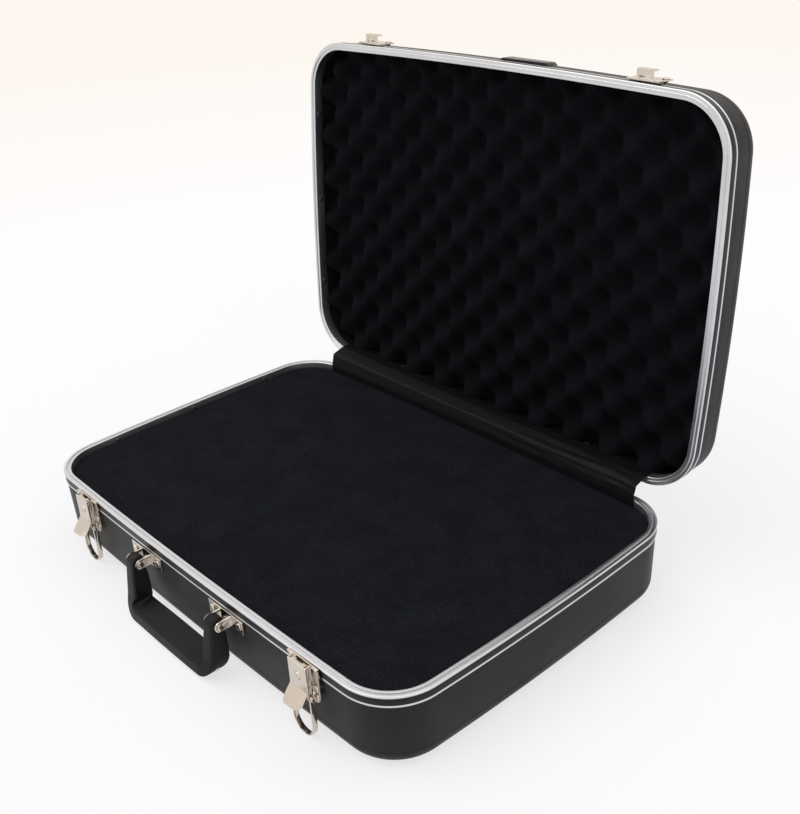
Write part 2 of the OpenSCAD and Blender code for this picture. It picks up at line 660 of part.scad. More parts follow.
// Steel strap bent to a U, with an eye at each end
module core_shape() {
    difference() {
        union() {
            for (s = [-1, 1]) {
                translate([s * bracket_x - core_w / 2, -core_t / 2, -handle_drop - core_t / 2])
                    cube([core_w, core_t, handle_drop + core_t / 2]);
                x_rod(core_eye_r, s * bracket_x - core_w / 2, s * bracket_x + core_w / 2, 0, 0);
            }
            translate([-bracket_x - core_w / 2, -core_t / 2, -handle_drop - core_t / 2])
                cube([2 * bracket_x + core_w, core_t, core_w]);
        }
        x_rod(handle_pin_r + run_gap, -2 * bracket_x, 2 * bracket_x, 0, 0);
    }
}
module handle_core() {
    color(steel) at_handle() core_shape();
}
module handle_grip() {
    color(black) at_handle() difference() {
        union() {
            // The U of legs and bar, cut out of one rounded slab
            translate([0, leg_d / 2, 0]) rotate([90, 0, 0]) linear_extrude(leg_d) difference() {
                round_rect(handle_w, grip_bottom, leg_w, 5);
                round_rect(handle_w - 2 * leg_w, grip_top, leg_w * 2, 5);
                translate([-handle_w, 0]) square([2 * handle_w, 3 * leg_w]);
            }
            for (s = [-1, 1]) x_rod(leg_d / 2, s * bracket_x - leg_w / 2, s * bracket_x + leg_w / 2, 0, 0);
            // Fuller palm bar
            translate([0, grip_d / 2, 0]) rotate([90, 0, 0]) linear_extrude(grip_d)
                round_rect(handle_w - 2 * leg_w + 6, grip_bottom, grip_top, 3);
        }
        core_shape();
        x_rod(handle_pin_r + run_gap, -2 * bracket_x, 2 * bracket_x, 0, 0);
    }
}

/* Base and lid */
module base_shell() {
    color(black) difference() {
        base_side() half_shell(base_h, base_round);
        for (s = [-1, 1]) {
            at_latch(s) for (p = latch_rivets_at) translate([p[0], plate_front, p[1]]) rivet_hole();
            at_bracket(s) for (sx = [-1, 1]) translate([sx * bracket_rivet_x, bracket_front, bracket_mid]) rivet_hole();
        }
        base_side() hinge_holes();
        base_side() rim_rivet_holes();
    }
}
module base_rim() {
    color(bright) base_side() difference() {
        rim_body();
        ring(tongue_mid - groove_w / 2, tongue_mid + groove_w / 2, -1, groove_d);
        rim_rivet_holes();
    }
}
module base_rim_rivets() {
    base_side() rim_rivets();
}
module base_vinyl_band() {
    base_side() vinyl_band();
}
foam_inset = rim_w + foam_gap;
foam_floor_gap = 0.3;
module base_foam() {
    low = base_h - wall - foam_floor_gap;
    r = base_round - wall;
    foot = rounding(foam_inset, low, r);
    color(foam_black) base_side() swept(concat(
        [for (i = [round_steps:-1:0]) foot[i]],
        [[foam_inset, base_foam_drop + 1], [foam_inset + 0.6, base_foam_drop]]));
}
module lid_shell() {
    color(black) lid_side() difference() {
        half_shell(lid_h, lid_round);
        for (s = [-1, 1], sx = [-1, 1])
            translate([s * latch_x + sx * catch_rivet_x, catch_front, catch_rivet_z]) rivet_hole();
        for (x = name_rivets_x) translate([x, name_back, name_z + name_h / 2]) rivet_hole();
        hinge_holes();
        rim_rivet_holes();
    }
}
module lid_rim() {
    tongue_w = groove_w - 2 * clear;
    tongue_h = groove_d - clear;
    color(bright) lid_side() difference() {
        union() {
            rim_body();
            ring(tongue_mid - tongue_w / 2, tongue_mid + tongue_w / 2, -tongue_h, eps);
        }
        rim_rivet_holes();
    }
}
module lid_rim_rivets() {
    lid_side() rim_rivets();
}
module lid_vinyl_band() {
    lid_side() vinyl_band();
}
module hinge_base_rivets() {
    hinge_rivets(base_straight);
}
module hinge_lid_rivets() {
    opened() translate([0, 0, 2 * hinge_z]) mirror([0, 0, 1]) hinge_rivets(lid_straight);
}

// Convoluted foam: crests and hollows alternate like an egg tray. Columns run
// across the lid, and each reaches from the front outline to the back one.
egg_cols = 2 * floor((case_w - 2 * foam_inset) / egg_pitch / 2);
egg_rows = 2 * floor((case_d - 2 * foam_inset) / egg_pitch / 2);
egg_hollow = lid_foam_drop + egg_h;
egg_middle = lid_foam_drop + egg_h * 0.42;
foam_top = lid_h - wall - foam_floor_gap;
foam_side = foam_top - lid_round / 2;
foam_half_w = side_x(0, foam_inset) - side_bow;
function egg_x(i) = foam_half_w * (2 * i / egg_cols - 1);
function egg_y(i, j) = edge_y(abs(egg_x(i)), foam_inset) * (2 * j / egg_rows - 1);
module lid_foam() {
    nj = egg_rows + 1;
    tips = [for (i = [0:egg_cols]) for (j = [0:egg_rows])
        [egg_x(i), egg_y(i, j), (i + j) % 2 == 0 ? lid_foam_drop : egg_hollow]];
    edge = concat(
        [for (i = [0:egg_cols]) i * nj],
        [for (j = [1:egg_rows]) egg_cols * nj + j],
        [for (i = [egg_cols - 1:-1:0]) i * nj + egg_rows],
        [for (j = [egg_rows - 1:-1:1]) j]);
    saddles = [for (i = [0:egg_cols - 1]) for (j = [0:egg_rows - 1]) let (t = i * nj + j)
        [for (k = [0:2]) k == 2 ? egg_middle : (tips[t][k] + tips[t + nj][k] + tips[t + 1][k] + tips[t + nj + 1][k]) / 4]];
    back = [for (e = edge) [tips[e][0], tips[e][1], foam_side]];
    roof = [for (e = edge) [tips[e][0] * 0.965, tips[e][1] * 0.95, foam_top]];
    m = len(edge);
    n0 = len(tips);
    n1 = n0 + len(saddles);
    n2 = n1 + m;
    cells = [for (i = [0:egg_cols - 1]) for (j = [0:egg_rows - 1])
        let (a = i * nj + j, b = a + nj, c = n0 + i * egg_rows + j)
        each [[a, b, c], [b, b + 1, c], [b + 1, a + 1, c], [a + 1, a, c]]];
    skirt = [for (k = [0:m - 1]) let (l = (k + 1) % m)
        each [[edge[k], n1 + k, n1 + l], [edge[k], n1 + l, edge[l]]]];
    bevel = [for (k = [0:m - 1]) let (l = (k + 1) % m)
        each [[n1 + k, n2 + k, n2 + l], [n1 + k, n2 + l, n1 + l]]];
    lid = [[for (k = [m - 1:-1:0]) n2 + k]];
    color(foam_black) lid_side() polyhedron(
        concat(tips, saddles, back, roof), concat(cells, skirt, bevel, lid), convexity = 6);
}

base_shell();
base_rim();
base_rim_rivets();
base_vinyl_band();
base_foam();
lid_shell();
lid_rim();
lid_rim_rivets();
lid_vinyl_band();
lid_foam();
hinge_base_leaf(-1);  // hinge_base_leaf_left
hinge_base_leaf(1);  // hinge_base_leaf_right
hinge_lid_leaf(-1);  // hinge_lid_leaf_left
hinge_lid_leaf(1);  // hinge_lid_leaf_right
hinge_pin(-1);  // hinge_pin_left
hinge_pin(1);  // hinge_pin_right
hinge_base_rivets();
hinge_lid_rivets();
hinge_flap();
latch_plate(-1);  // latch_plate_left
latch_plate(1);  // latch_plate_right
latch_rivets();
lever_pivot_pin(-1);  // lever_pivot_pin_left
lever_pivot_pin(1);  // lever_pivot_pin_right
latch_lever(-1);  // latch_lever_left
latch_lever(1);  // latch_lever_right
bail_pin(-1);  // bail_pin_left
bail_pin(1);  // bail_pin_right
latch_bail(-1);  // latch_bail_left
latch_bail(1);  // latch_bail_right
lock_body(-1);  // lock_body_left
lock_body(1);  // lock_body_right
lock_plug(-1);  // lock_plug_left
lock_plug(1);  // lock_plug_right
catch_plate(-1);  // catch_left
catch_plate(1);  // catch_right
catch_rivets();
name_plate();
name_plate_rivets();
handle_bracket(-1);  // handle_bracket_left
handle_bracket(1);  // handle_bracket_right
handle_bracket_rivets();
handle_pin(-1);  // handle_pin_left
handle_pin(1);  // handle_pin_right
handle_core();
handle_grip();
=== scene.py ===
"""Looks of a hard-shell laptop case: moulded shells, metal rims, foam, cloth flap, latches and handle."""

import json
import math

import bmesh
import bpy
from bpy.props import FloatProperty, FloatVectorProperty, IntProperty, PointerProperty
from bpy.types import Operator, Panel, PropertyGroup
from mathutils import Matrix, Vector, noise

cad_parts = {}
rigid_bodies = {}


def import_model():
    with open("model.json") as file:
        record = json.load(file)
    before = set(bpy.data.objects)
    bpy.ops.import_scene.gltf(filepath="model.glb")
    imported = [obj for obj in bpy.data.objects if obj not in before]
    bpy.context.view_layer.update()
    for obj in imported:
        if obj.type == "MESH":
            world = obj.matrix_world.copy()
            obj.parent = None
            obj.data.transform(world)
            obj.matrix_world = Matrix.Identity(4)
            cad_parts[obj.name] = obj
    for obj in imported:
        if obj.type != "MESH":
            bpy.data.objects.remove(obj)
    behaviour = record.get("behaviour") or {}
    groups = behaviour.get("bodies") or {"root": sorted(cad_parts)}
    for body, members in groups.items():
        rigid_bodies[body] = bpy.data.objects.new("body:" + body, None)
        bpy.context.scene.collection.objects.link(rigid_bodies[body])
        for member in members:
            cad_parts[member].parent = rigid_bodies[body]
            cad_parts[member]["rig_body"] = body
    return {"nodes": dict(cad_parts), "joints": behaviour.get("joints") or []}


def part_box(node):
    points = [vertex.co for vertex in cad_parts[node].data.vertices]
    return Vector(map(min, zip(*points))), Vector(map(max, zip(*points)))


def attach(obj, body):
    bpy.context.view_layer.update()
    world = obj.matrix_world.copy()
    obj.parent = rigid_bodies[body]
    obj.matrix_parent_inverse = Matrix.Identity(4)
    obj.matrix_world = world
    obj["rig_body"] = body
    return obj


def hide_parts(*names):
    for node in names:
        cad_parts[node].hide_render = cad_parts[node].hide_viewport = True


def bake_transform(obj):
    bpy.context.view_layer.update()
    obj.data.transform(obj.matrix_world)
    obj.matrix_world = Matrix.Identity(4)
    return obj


bl_info = {
    "name": "Laptop hard case",
    "version": (1, 0, 0),
    "blender": (4, 5, 0),
    "location": "3D View > Sidebar > Case",
    "description": "Builds the visible pieces of a foam-lined hard case around its working frame",
    "category": "Object",
}

MM = 0.001

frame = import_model()
NODES = frame["nodes"]
JOINTS = {joint["name"]: joint for joint in frame["joints"]}
RIM_LOW, RIM_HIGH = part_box("base_rim")
FLAP_LOW, FLAP_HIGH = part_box("hinge_flap")


# Sizes and colours


def length(name, description, default):
    """A size in metres."""
    return FloatProperty(name=name, description=description, default=default, unit="LENGTH", precision=5)


def colour(name, description, default):
    """A colour in linear red, green and blue."""
    return FloatVectorProperty(
        name=name, description=description, default=default, subtype="COLOR", min=0, max=1
    )


class CaseSizes(PropertyGroup):
    """Sizes of the case's visible pieces, in metres."""

    width: length("Width", "Over the rims, left to right", RIM_HIGH.x - RIM_LOW.x)
    depth: length("Depth", "Over the rims, front to back", RIM_HIGH.y - RIM_LOW.y)
    corner_radius: length("Corner radius", "Radius of the rims' corners, seen from above", 44 * MM)
    side_bow: length("Side bow", "How far the left and right sides bow outwards", 4.6 * MM)
    front_bow: length("Front bow", "How far the front and back bow outwards", 4 * MM)
    base_height: length("Base height", "Underside of the base to its rim", RIM_HIGH.z)
    lid_height: length("Lid height", "Rim of the lid to its outer face", 41 * MM)
    parting_gap: length("Parting gap", "Gap between the rims when the case is shut", 0.3 * MM)
    shell_step: length("Shell step", "Step from the rim's face back to the shell", 1 * MM)
    wall: length("Wall", "Thickness of the moulded shells", 2.4 * MM)
    draft: length("Draft", "How far the shell walls lean in", 1.2 * MM)
    base_rounding: length("Base rounding", "Edge rounding under the base", 12 * MM)
    lid_rounding: length("Lid rounding", "Edge rounding of the lid's face", 14 * MM)
    base_crease: length("Base crease", "Depth of the crease where the base's wall ends", 0.16 * MM)
    lid_crease: length("Lid crease", "Depth of the crease where the lid's wall ends", 0.12 * MM)
    rim_width: length("Rim width", "Width of a rim, seen from above", 6.4 * MM)
    rim_height: length("Rim height", "Height of a rim on the outside", 9.2 * MM)
    bead_height: length("Bead height", "Height of the bright bead", 1.8 * MM)
    lip_height: length("Lip height", "Height of the lip over the shell", 1.8 * MM)
    web: length("Web", "Thickness of the rim's webs", 1.2 * MM)
    groove_width: length("Groove width", "Width of the groove in the base rim's face", 1.4 * MM)
    groove_depth: length("Groove depth", "Depth of the groove in the base rim's face", 1.2 * MM)
    tongue_width: length("Tongue width", "Width of the tongue on the lid rim's face", 1.2 * MM)
    tongue_height: length("Tongue height", "Height of the tongue on the lid rim's face", 0.9 * MM)
    band_thickness: length("Band thickness", "How far the vinyl band stands out of its seat", 0.7 * MM)
    foam_inset: length("Foam inset", "Distance of the foam's edge from the rim's outer face", 6.8 * MM)
    base_foam_drop: length("Base foam drop", "Depth of the base foam below the rim", 5 * MM)
    lid_foam_drop: length("Lid foam drop", "Depth of the lid foam's crests below the rim", 6 * MM)
    egg_height: length("Egg-crate height", "Height of the crests over the hollows", 17 * MM)
    egg_across: length("Egg-crate pitch across", "Crest to next hollow, left to right", 19.63 * MM)
    egg_along: length("Egg-crate pitch along", "Crest to next hollow, front to back", 20.79 * MM)
    flap_width: length("Flap width", "Width of the cloth over the hinge", FLAP_HIGH.x - FLAP_LOW.x)
    flap_thickness: length("Flap thickness", "Thickness of the cloth", 0.8 * MM)
    flap_tuck: length("Flap tuck", "Depth of the cloth behind each rim", 11.5 * MM)
    flap_crease: FloatProperty(
        name="Flap crease",
        description="Place of the crease across the flap",
        default=0.46,
        subtype="FACTOR",
    )
    grip_leg_width: length("Handle leg width", "Width of the handle's legs", 10.8 * MM)
    grip_leg_depth: length("Handle leg depth", "Depth of the handle's legs", 12.6 * MM)
    grip_flare: length("Handle leg flare", "How much deeper the legs get towards the bar", 4.2 * MM)
    grip_clear: length("Handle leg clearance", "Straight stretch of the legs beside the brackets", 6 * MM)
    grip_height: length("Grip height", "Height of the handle's bar", 14 * MM)
    grip_depth: length("Grip depth", "Depth of the handle's bar", 15 * MM)
    grip_drop: length("Grip drop", "Handle pins to the middle of the bar", 37 * MM)
    grip_reach: length("Grip reach", "Middle of the case to the middle of a leg", 54.5 * MM)
    grip_turn: length("Grip turn", "Radius of the bend from a leg to the bar", 8 * MM)
    grip_lean: FloatProperty(
        name="Grip lean",
        description="Outward lean of the hanging handle",
        default=math.radians(8),
        subtype="ANGLE",
    )
    edge: length("Edge", "Rounding of the metal fittings' edges", 0.22 * MM)
    catch_edge: length("Catch edge", "Rounding of the catches' edges", 0.4 * MM)
    plate_edge: length("Plate edge", "Rounding of the name plate's edges", 0.45 * MM)
    outline_steps: IntProperty(
        name="Outline steps", description="Points in a quarter of the outline", default=46
    )


class CaseColours(PropertyGroup):
    """Colours of the case's finishes."""

    shell: colour("Shell", "Moulded shells", (0.0066, 0.0065, 0.0073))
    rim: colour("Rim", "Drawn metal rims", (0.66, 0.68, 0.71))
    vinyl: colour("Band", "Vinyl band in the rims", (0.0065, 0.0060, 0.0068))
    foam: colour("Foam", "Open-cell foam of the base", (0.0100, 0.0112, 0.0138))
    # Darker than the base foam: painted shade, as the open lid faces down and away from the light.
    lid_foam: colour("Lid foam", "Convoluted foam of the lid", (0.0064, 0.0066, 0.0084))
    flap: colour("Flap", "Coated cloth over the hinge", (0.0034, 0.0035, 0.0046))
    nickel: colour("Nickel", "Plated fittings", (0.66, 0.60, 0.53))
    steel: colour("Steel", "Pins, rivets and hinges", (0.60, 0.60, 0.60))
    dull: colour("Dull steel", "Rivets of the rims", (0.12, 0.12, 0.125))
    grip: colour("Grip", "Moulded handle", (0.0062, 0.0064, 0.0074))
    plate: colour("Name plate", "Blank plate on the lid", (0.0070, 0.0070, 0.0078))
    floor: colour("Floor", "Studio floor", (0.94, 0.94, 0.95))
    backdrop: colour("Backdrop", "Paper far behind the case", (0.985, 0.93, 0.87))


def sizes():
    """The scene's sizes of the case."""
    return bpy.context.scene.case_sizes


def colours():
    """The scene's colours of the case."""
    return bpy.context.scene.case_colours


# Outline and mesh tools

SMOOTH_UP_TO = math.radians(38)
BEVEL_FROM = math.radians(35)
FLAT_UP_TO = math.radians(0.3)
SAME_POINT = 0.001 * MM


class Outline:
    """The case seen from above: four shallow arcs joined by corner arcs. Its insets are concentric."""

    def __init__(self, s):
        self.half_w, self.half_d, self.corner_r = s.width / 2, s.depth / 2, s.corner_radius
        self.steps = s.outline_steps
        self.side_r = (self.half_d**2 + s.side_bow**2) / (2 * s.side_bow)
        self.front_r = (self.half_w**2 + s.front_bow**2) / (2 * s.front_bow)
        side_c = Vector((self.half_w - self.side_r, 0))
        front_c = Vector((0, self.half_d - self.front_r))
        reach_a, reach_b = self.side_r - self.corner_r, self.front_r - self.corner_r
        apart = (front_c - side_c).length
        unit = (front_c - side_c) / apart
        along = (reach_a**2 - reach_b**2 + apart**2) / (2 * apart)
        self.corner = side_c + unit * along + Vector((-unit.y, unit.x)) * math.sqrt(reach_a**2 - along**2)
        self.side_c, self.front_c = side_c, front_c
        self.side_end = math.atan2(self.corner.y, self.corner.x - side_c.x)
        self.front_end = math.atan2(self.corner.y - front_c.y, self.corner.x)

    def quarter(self, inset):
        """Points from the middle of the right side to the middle of the back."""
        side, corner = self.steps // 4, self.steps // 2
        front = self.steps - side - corner
        arcs = (
            (self.side_c, self.side_r, 0, self.side_end, side),
            (self.corner, self.corner_r, self.side_end, self.front_end, corner),
            (self.front_c, self.front_r, self.front_end, math.pi / 2, front),
        )
        points = [Vector((self.side_c.x + self.side_r - inset, 0))]
        for centre, radius, start, end, steps in arcs:
            for i in range(1, steps + 1):
                angle = start + (end - start) * i / steps
                points.append(centre + Vector((math.cos(angle), math.sin(angle))) * (radius - inset))
        return points

    def ring(self, inset):
        """The whole outline, anticlockwise from the middle of the right side."""
        quarter = self.quarter(inset)
        half = quarter + [Vector((-p.x, p.y)) for p in reversed(quarter[:-1])]
        return half + [Vector((-p.x, -p.y)) for p in half[1:-1]]

    def front(self, x, inset=0.0):
        """Distance of the front or back face from the middle, at x."""
        if abs(x) > self.corner.x:
            across = min(abs(x) - self.corner.x, self.corner_r - inset)
            return self.corner.y + math.sqrt((self.corner_r - inset) ** 2 - across**2)
        return self.front_c.y + math.sqrt((self.front_r - inset) ** 2 - x * x)

    def side(self, y, inset=0.0):
        """Distance of the left or right face from the middle, at y between the corners."""
        return self.side_c.x + math.sqrt((self.side_r - inset) ** 2 - y * y)

    def fit(self, u, v, inset):
        """Where a point of the square from -1 to 1 goes inside the outline."""
        cx, cy, r = self.corner.x, self.corner.y, self.corner_r - inset
        half_w, half_d = self.half_w - inset, self.half_d - inset
        x, y = abs(u) * half_w, abs(v) * half_d
        share_x, share_y = max(0.0, (x - cx) / (half_w - cx)), max(0.0, (y - cy) / (half_d - cy))
        if share_x and share_y:
            shrink = max(share_x, share_y) / math.hypot(share_x, share_y)
            x, y = cx + share_x * r * shrink, cy + share_y * r * shrink
        elif share_x:
            x = cx + (self.side(y, inset) - cx) * share_x
        elif share_y:
            y = cy + (self.front(x, inset) - cy) * share_y
        return math.copysign(x, u), math.copysign(y, v)


def rounded(points, closed=False, steps=3):
    """A profile of (inset, height, corner radius) with its corners rounded, as (inset, height)."""
    out = []
    for i, (inset, height, radius) in enumerate(points):
        p = Vector((inset, height))
        if radius == 0 or (not closed and i in (0, len(points) - 1)):
            out.append(p)
            continue
        before = Vector(points[i - 1][:2]) - p
        after = Vector(points[(i + 1) % len(points)][:2]) - p
        a = p + before.normalized() * min(radius, before.length * 0.48)
        b = p + after.normalized() * min(radius, after.length * 0.48)
        out += [a.lerp(p, t).lerp(p.lerp(b, t), t) for t in (k / steps for k in range(steps + 1))]
    return [(p.x, p.y) for p in out]


def quarter_turn(inset, height, radius, steps=10):
    """The rounding between a wall at an inset and a face at a height."""
    turns = [math.pi / 2 * i / steps for i in range(steps + 1)]
    return [(inset + radius * (1 - math.cos(a)), height - radius + radius * math.sin(a)) for a in turns]


def open_ring(bm, points):
    """A closed ring of edges; each vertex knows its place in it."""
    order = bm.verts.layers.int.get("order") or bm.verts.layers.int.new("order")
    verts = [bm.verts.new(p) for p in points]
    for i, v in enumerate(verts):
        v[order] = i
    return [bm.edges.new((verts[i - 1], verts[i])) for i in range(len(verts))]


def extrude_ring(bm, edges, points):
    """Extrudes a ring of edges to new points, and returns the new ring."""
    order = bm.verts.layers.int["order"]
    grown = bmesh.ops.extrude_edge_only(bm, edges=edges)["geom"]
    fresh = {g for g in grown if isinstance(g, bmesh.types.BMVert)}
    for v in fresh:
        v.co = points[v[order]]
    return [g for g in grown if isinstance(g, bmesh.types.BMEdge) and set(g.verts) <= fresh]


def loft(bm, loops, closed=False):
    """Skin over loops of points, capped at both ends or joined into a ring."""
    first = last = open_ring(bm, loops[0])
    for points in loops[1:]:
        last = extrude_ring(bm, last, points)
    if closed:
        bmesh.ops.bridge_loops(bm, edges=first + last)
    else:
        bmesh.ops.contextual_create(bm, geom=first)
        bmesh.ops.contextual_create(bm, geom=last)


def sweep(outline, profile, closed=False):
    """A bmesh of a profile of (inset, height) carried round the outline."""
    bm = bmesh.new()
    loft(bm, [[(p.x, p.y, height) for p in outline.ring(inset)] for inset, height in profile], closed)
    return bm


def in_base():
    """From a half shell's own space, rim at 0 and body upwards, to the base."""
    return Matrix.Translation((0, 0, sizes().base_height)) @ Matrix.Scale(-1, 4, (0, 0, 1))


def in_lid():
    """The same to the lid, which stands open on its hinge."""
    hinge = JOINTS["lid_hinge"]
    pin = Vector(hinge["pos_m"])
    swing = Matrix.Rotation(-math.radians(hinge["range_deg"][1]), 4, "X")
    rim = sizes().base_height + sizes().parting_gap
    return Matrix.Translation(pin) @ swing @ Matrix.Translation(Vector((0, 0, rim)) - pin)


def lumps(x, y, across, along, seed):
    """Noise over a face, with so many lumps a metre each way."""
    return noise.noise(Vector((x * across, y * along, seed)))


def finish_mesh(bm, name, place=None, smooth_up_to=SMOOTH_UP_TO, recalc=True):
    """A new object from a bmesh, with its place in its mesh, shaded soft up to an angle between faces."""
    if place is not None:
        bm.transform(place)
    if recalc:
        bmesh.ops.recalc_face_normals(bm, faces=bm.faces)
    for edge in bm.edges:
        edge.smooth = edge.calc_face_angle(0) < smooth_up_to
    for face in bm.faces:
        face.smooth = True
    mesh = bpy.data.meshes.new(name)
    bm.to_mesh(mesh)
    bm.free()
    piece = bpy.data.objects.new(name, mesh)
    bpy.context.scene.collection.objects.link(piece)
    return piece


def settle(piece, material, body, node):
    """Gives a piece its material and its body, and hides the CAD node that it stands for."""
    piece.data.materials.append(material)
    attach(piece, body)
    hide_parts(node)
    return piece


# Bow of a latch lever's finger tab, and the strap inside the handle.
CURL_CUTS = 4
CURL_PITCH = 2.1 * MM
CURL_ROOT = 2.3 * MM
CURL_START = 0.8 * MM
CURL_HALF_WIDTH = 9.4 * MM
CURL_DROP = 2.4 * MM
CURL_GROWTH = 1.6
CURL_WAY = Vector((0, 0.6, -0.8))
STRAP_TOP = 5.5 * MM
STRAP_LOWERED = 3.8 * MM


def curl_tab(bm, joint):
    """Bows the lever's finger tab, so that its edges turn down."""
    pin = Vector(JOINTS[joint]["pos_m"])
    low = min(v.co.y for v in bm.verts)
    for step in range(-CURL_CUTS, CURL_CUTS + 1):
        geom = bm.verts[:] + bm.edges[:] + bm.faces[:]
        cut = Vector((pin.x + step * CURL_PITCH, 0, 0))
        bmesh.ops.bisect_plane(bm, geom=geom, dist=SAME_POINT, plane_co=cut, plane_no=(1, 0, 0))
    root = pin.y - CURL_ROOT
    for v in bm.verts:
        out = (root - CURL_START - v.co.y) / (root - low)
        if out > 0:
            share = (v.co.x - pin.x) / CURL_HALF_WIDTH
            drop = CURL_DROP * min(1.0, out * CURL_GROWTH) * share * share
            v.co += CURL_WAY * drop


def handle_place():
    """From the handle's own space, pins at the origin, to where it hangs."""
    pin = Vector(JOINTS["handle_swing"]["pos_m"])
    return Matrix.Translation(pin) @ Matrix.Rotation(-sizes().grip_lean, 4, "X")


def lower_strap(bm):
    """Brings down the top of the strap's crossbar, under the grip's dished face."""
    place = handle_place()
    inverse = place.inverted()
    top = STRAP_TOP - sizes().grip_drop
    for v in bm.verts:
        local = inverse @ v.co
        if abs(local.z - top) < 0.5 * MM:
            v.co = place @ (local - Vector((0, 0, STRAP_LOWERED)))


def dressed(node, material, edge):
    """A fitting with the CAD node's own shape and softened edges."""
    bm = bmesh.new()
    bm.from_mesh(NODES[node].data)
    bmesh.ops.remove_doubles(bm, verts=bm.verts, dist=SAME_POINT)
    bmesh.ops.dissolve_limit(bm, angle_limit=FLAT_UP_TO, verts=bm.verts, edges=bm.edges)
    if node.startswith("latch_lever"):
        curl_tab(bm, node.replace("latch_lever", "lever_swing"))
    if node == "handle_core":
        lower_strap(bm)
    sharp = [e for e in bm.edges if e.is_manifold and e.calc_face_angle(0) > BEVEL_FROM]
    bmesh.ops.bevel(
        bm,
        geom=sharp,
        offset=edge,
        segments=2,
        profile=0.5,
        affect="EDGES",
        clamp_overlap=True,
        material=-1,
    )
    piece = finish_mesh(bm, node + "_finished", recalc=False)
    return settle(piece, material, NODES[node]["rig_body"], node)


# Shader node groups and finishes


def add_node(tree, kind, inputs=None, **settings):
    """A node with its settings and its inputs, which are values or other nodes' outputs."""
    made = tree.nodes.new(kind)
    for key, value in settings.items():
        setattr(made, key, value)
    for key, value in (inputs or {}).items():
        if isinstance(value, bpy.types.NodeSocket):
            tree.links.new(value, made.inputs[key])
        else:
            made.inputs[key].default_value = value
    return made


def new_group(name, inputs, outputs):
    """An empty shader group that reads a place. Inputs are (name, default) numbers, outputs are names."""
    tree = bpy.data.node_groups.new(name, "ShaderNodeTree")
    tree.interface.new_socket(name="Vector", in_out="INPUT", socket_type="NodeSocketVector")
    for title, default in inputs:
        socket = tree.interface.new_socket(name=title, in_out="INPUT", socket_type="NodeSocketFloat")
        socket.default_value = default
    for title in outputs:
        tree.interface.new_socket(name=title, in_out="OUTPUT", socket_type="NodeSocketFloat")
    return tree, tree.nodes.new("NodeGroupInput").outputs, tree.nodes.new("NodeGroupOutput").inputs


def stretch(tree, value, low, high, to_low=0.0, to_high=1.0):
    """Map Range of a value, clamped."""
    inputs = {"Value": value, "From Min": low, "From Max": high, "To Min": to_low, "To Max": to_high}
    return add_node(tree, "ShaderNodeMapRange", inputs).outputs["Result"]


def combine(tree, how, a, b):
    """Math of two values."""
    return add_node(tree, "ShaderNodeMath", {0: a, 1: b}, operation=how).outputs[0]


def noise_texture(tree, vector, scale, detail, **more):
    """Outputs of a noise with so many lumps a metre."""
    inputs = {"Vector": vector, "Scale": scale, "Detail": detail, **more}
    return add_node(tree, "ShaderNodeTexNoise", inputs).outputs


def cell_texture(tree, vector, scale, feature="F1"):
    """Outputs of a pattern with so many cells a metre."""
    inputs = {"Vector": vector, "Scale": scale}
    return add_node(tree, "ShaderNodeTexVoronoi", inputs, feature=feature).outputs


def leather_grain_group():
    """Pebbled grain of moulded plastic: cells with fine noise between them, and a broad mask."""
    tree, given, out = new_group("Leather grain", [("Cells", 1000.0)], ["Height", "Mask"])
    place = given["Vector"]
    warp = noise_texture(tree, place, 400.0, 2.0)["Color"]
    nudge = add_node(tree, "ShaderNodeVectorMath", {0: warp, "Scale": 0.9 * MM}, operation="SCALE")
    moved = add_node(tree, "ShaderNodeVectorMath", {0: place, 1: nudge.outputs[0]}, operation="ADD")
    edges = cell_texture(tree, moved.outputs[0], given["Cells"], "DISTANCE_TO_EDGE")["Distance"]
    fine = combine(tree, "MULTIPLY", noise_texture(tree, place, 2600.0, 2.0)["Fac"], 0.35)
    height = combine(tree, "ADD", stretch(tree, edges, 0.0, 0.22), fine)
    tree.links.new(height, out["Height"])
    tree.links.new(noise_texture(tree, place, 14.0, 4.0)["Fac"], out["Mask"])
    return tree


def open_cell_group():
    """Cut open-cell foam: fine pits, soft clumps and a few painted glints, bright dots standing in for
    light off cell walls.
    """
    numbers = [("Pores", 900.0), ("Glint share", 0.5)]
    tree, given, out = new_group("Open cells", numbers, ["Height", "Glint", "Clump"])
    place = given["Vector"]
    pores = cell_texture(tree, place, given["Pores"])["Distance"]
    grit = noise_texture(tree, place, 1500.0, 3.0, Roughness=0.7)["Fac"]
    tree.links.new(combine(tree, "ADD", pores, grit), out["Height"])
    # Painted highlights: sparse small dots of bright colour where light would glint off cell walls.
    glint_cells = cell_texture(tree, place, 520.0)
    chosen = stretch(tree, glint_cells["Color"], 0.54, 0.64)
    dot = stretch(tree, glint_cells["Distance"], 0.14, 0.30, 1.0, 0.0)
    glint = combine(tree, "MULTIPLY", combine(tree, "MULTIPLY", chosen, dot), given["Glint share"])
    tree.links.new(glint, out["Glint"])
    clumps = noise_texture(tree, place, 45.0, 5.0)["Fac"]
    tree.links.new(stretch(tree, clumps, 0.35, 0.65), out["Clump"])
    return tree


def handling_group():
    """Smears and faint scratches that handling leaves on metal."""
    tree, given, out = new_group("Handling", [("Smears", 60.0)], ["Smear", "Scratch"])
    place = given["Vector"]
    smear = noise_texture(tree, place, given["Smears"], 6.0, Distortion=0.6)["Fac"]
    tree.links.new(stretch(tree, smear, 0.3, 0.7), out["Smear"])
    pulled = add_node(tree, "ShaderNodeMapping", {"Vector": place, "Scale": (40.0, 900.0, 900.0)})
    scratch = noise_texture(tree, pulled.outputs[0], 1.0, 3.0)["Fac"]
    tree.links.new(stretch(tree, scratch, 0.35, 0.65), out["Scratch"])
    return tree


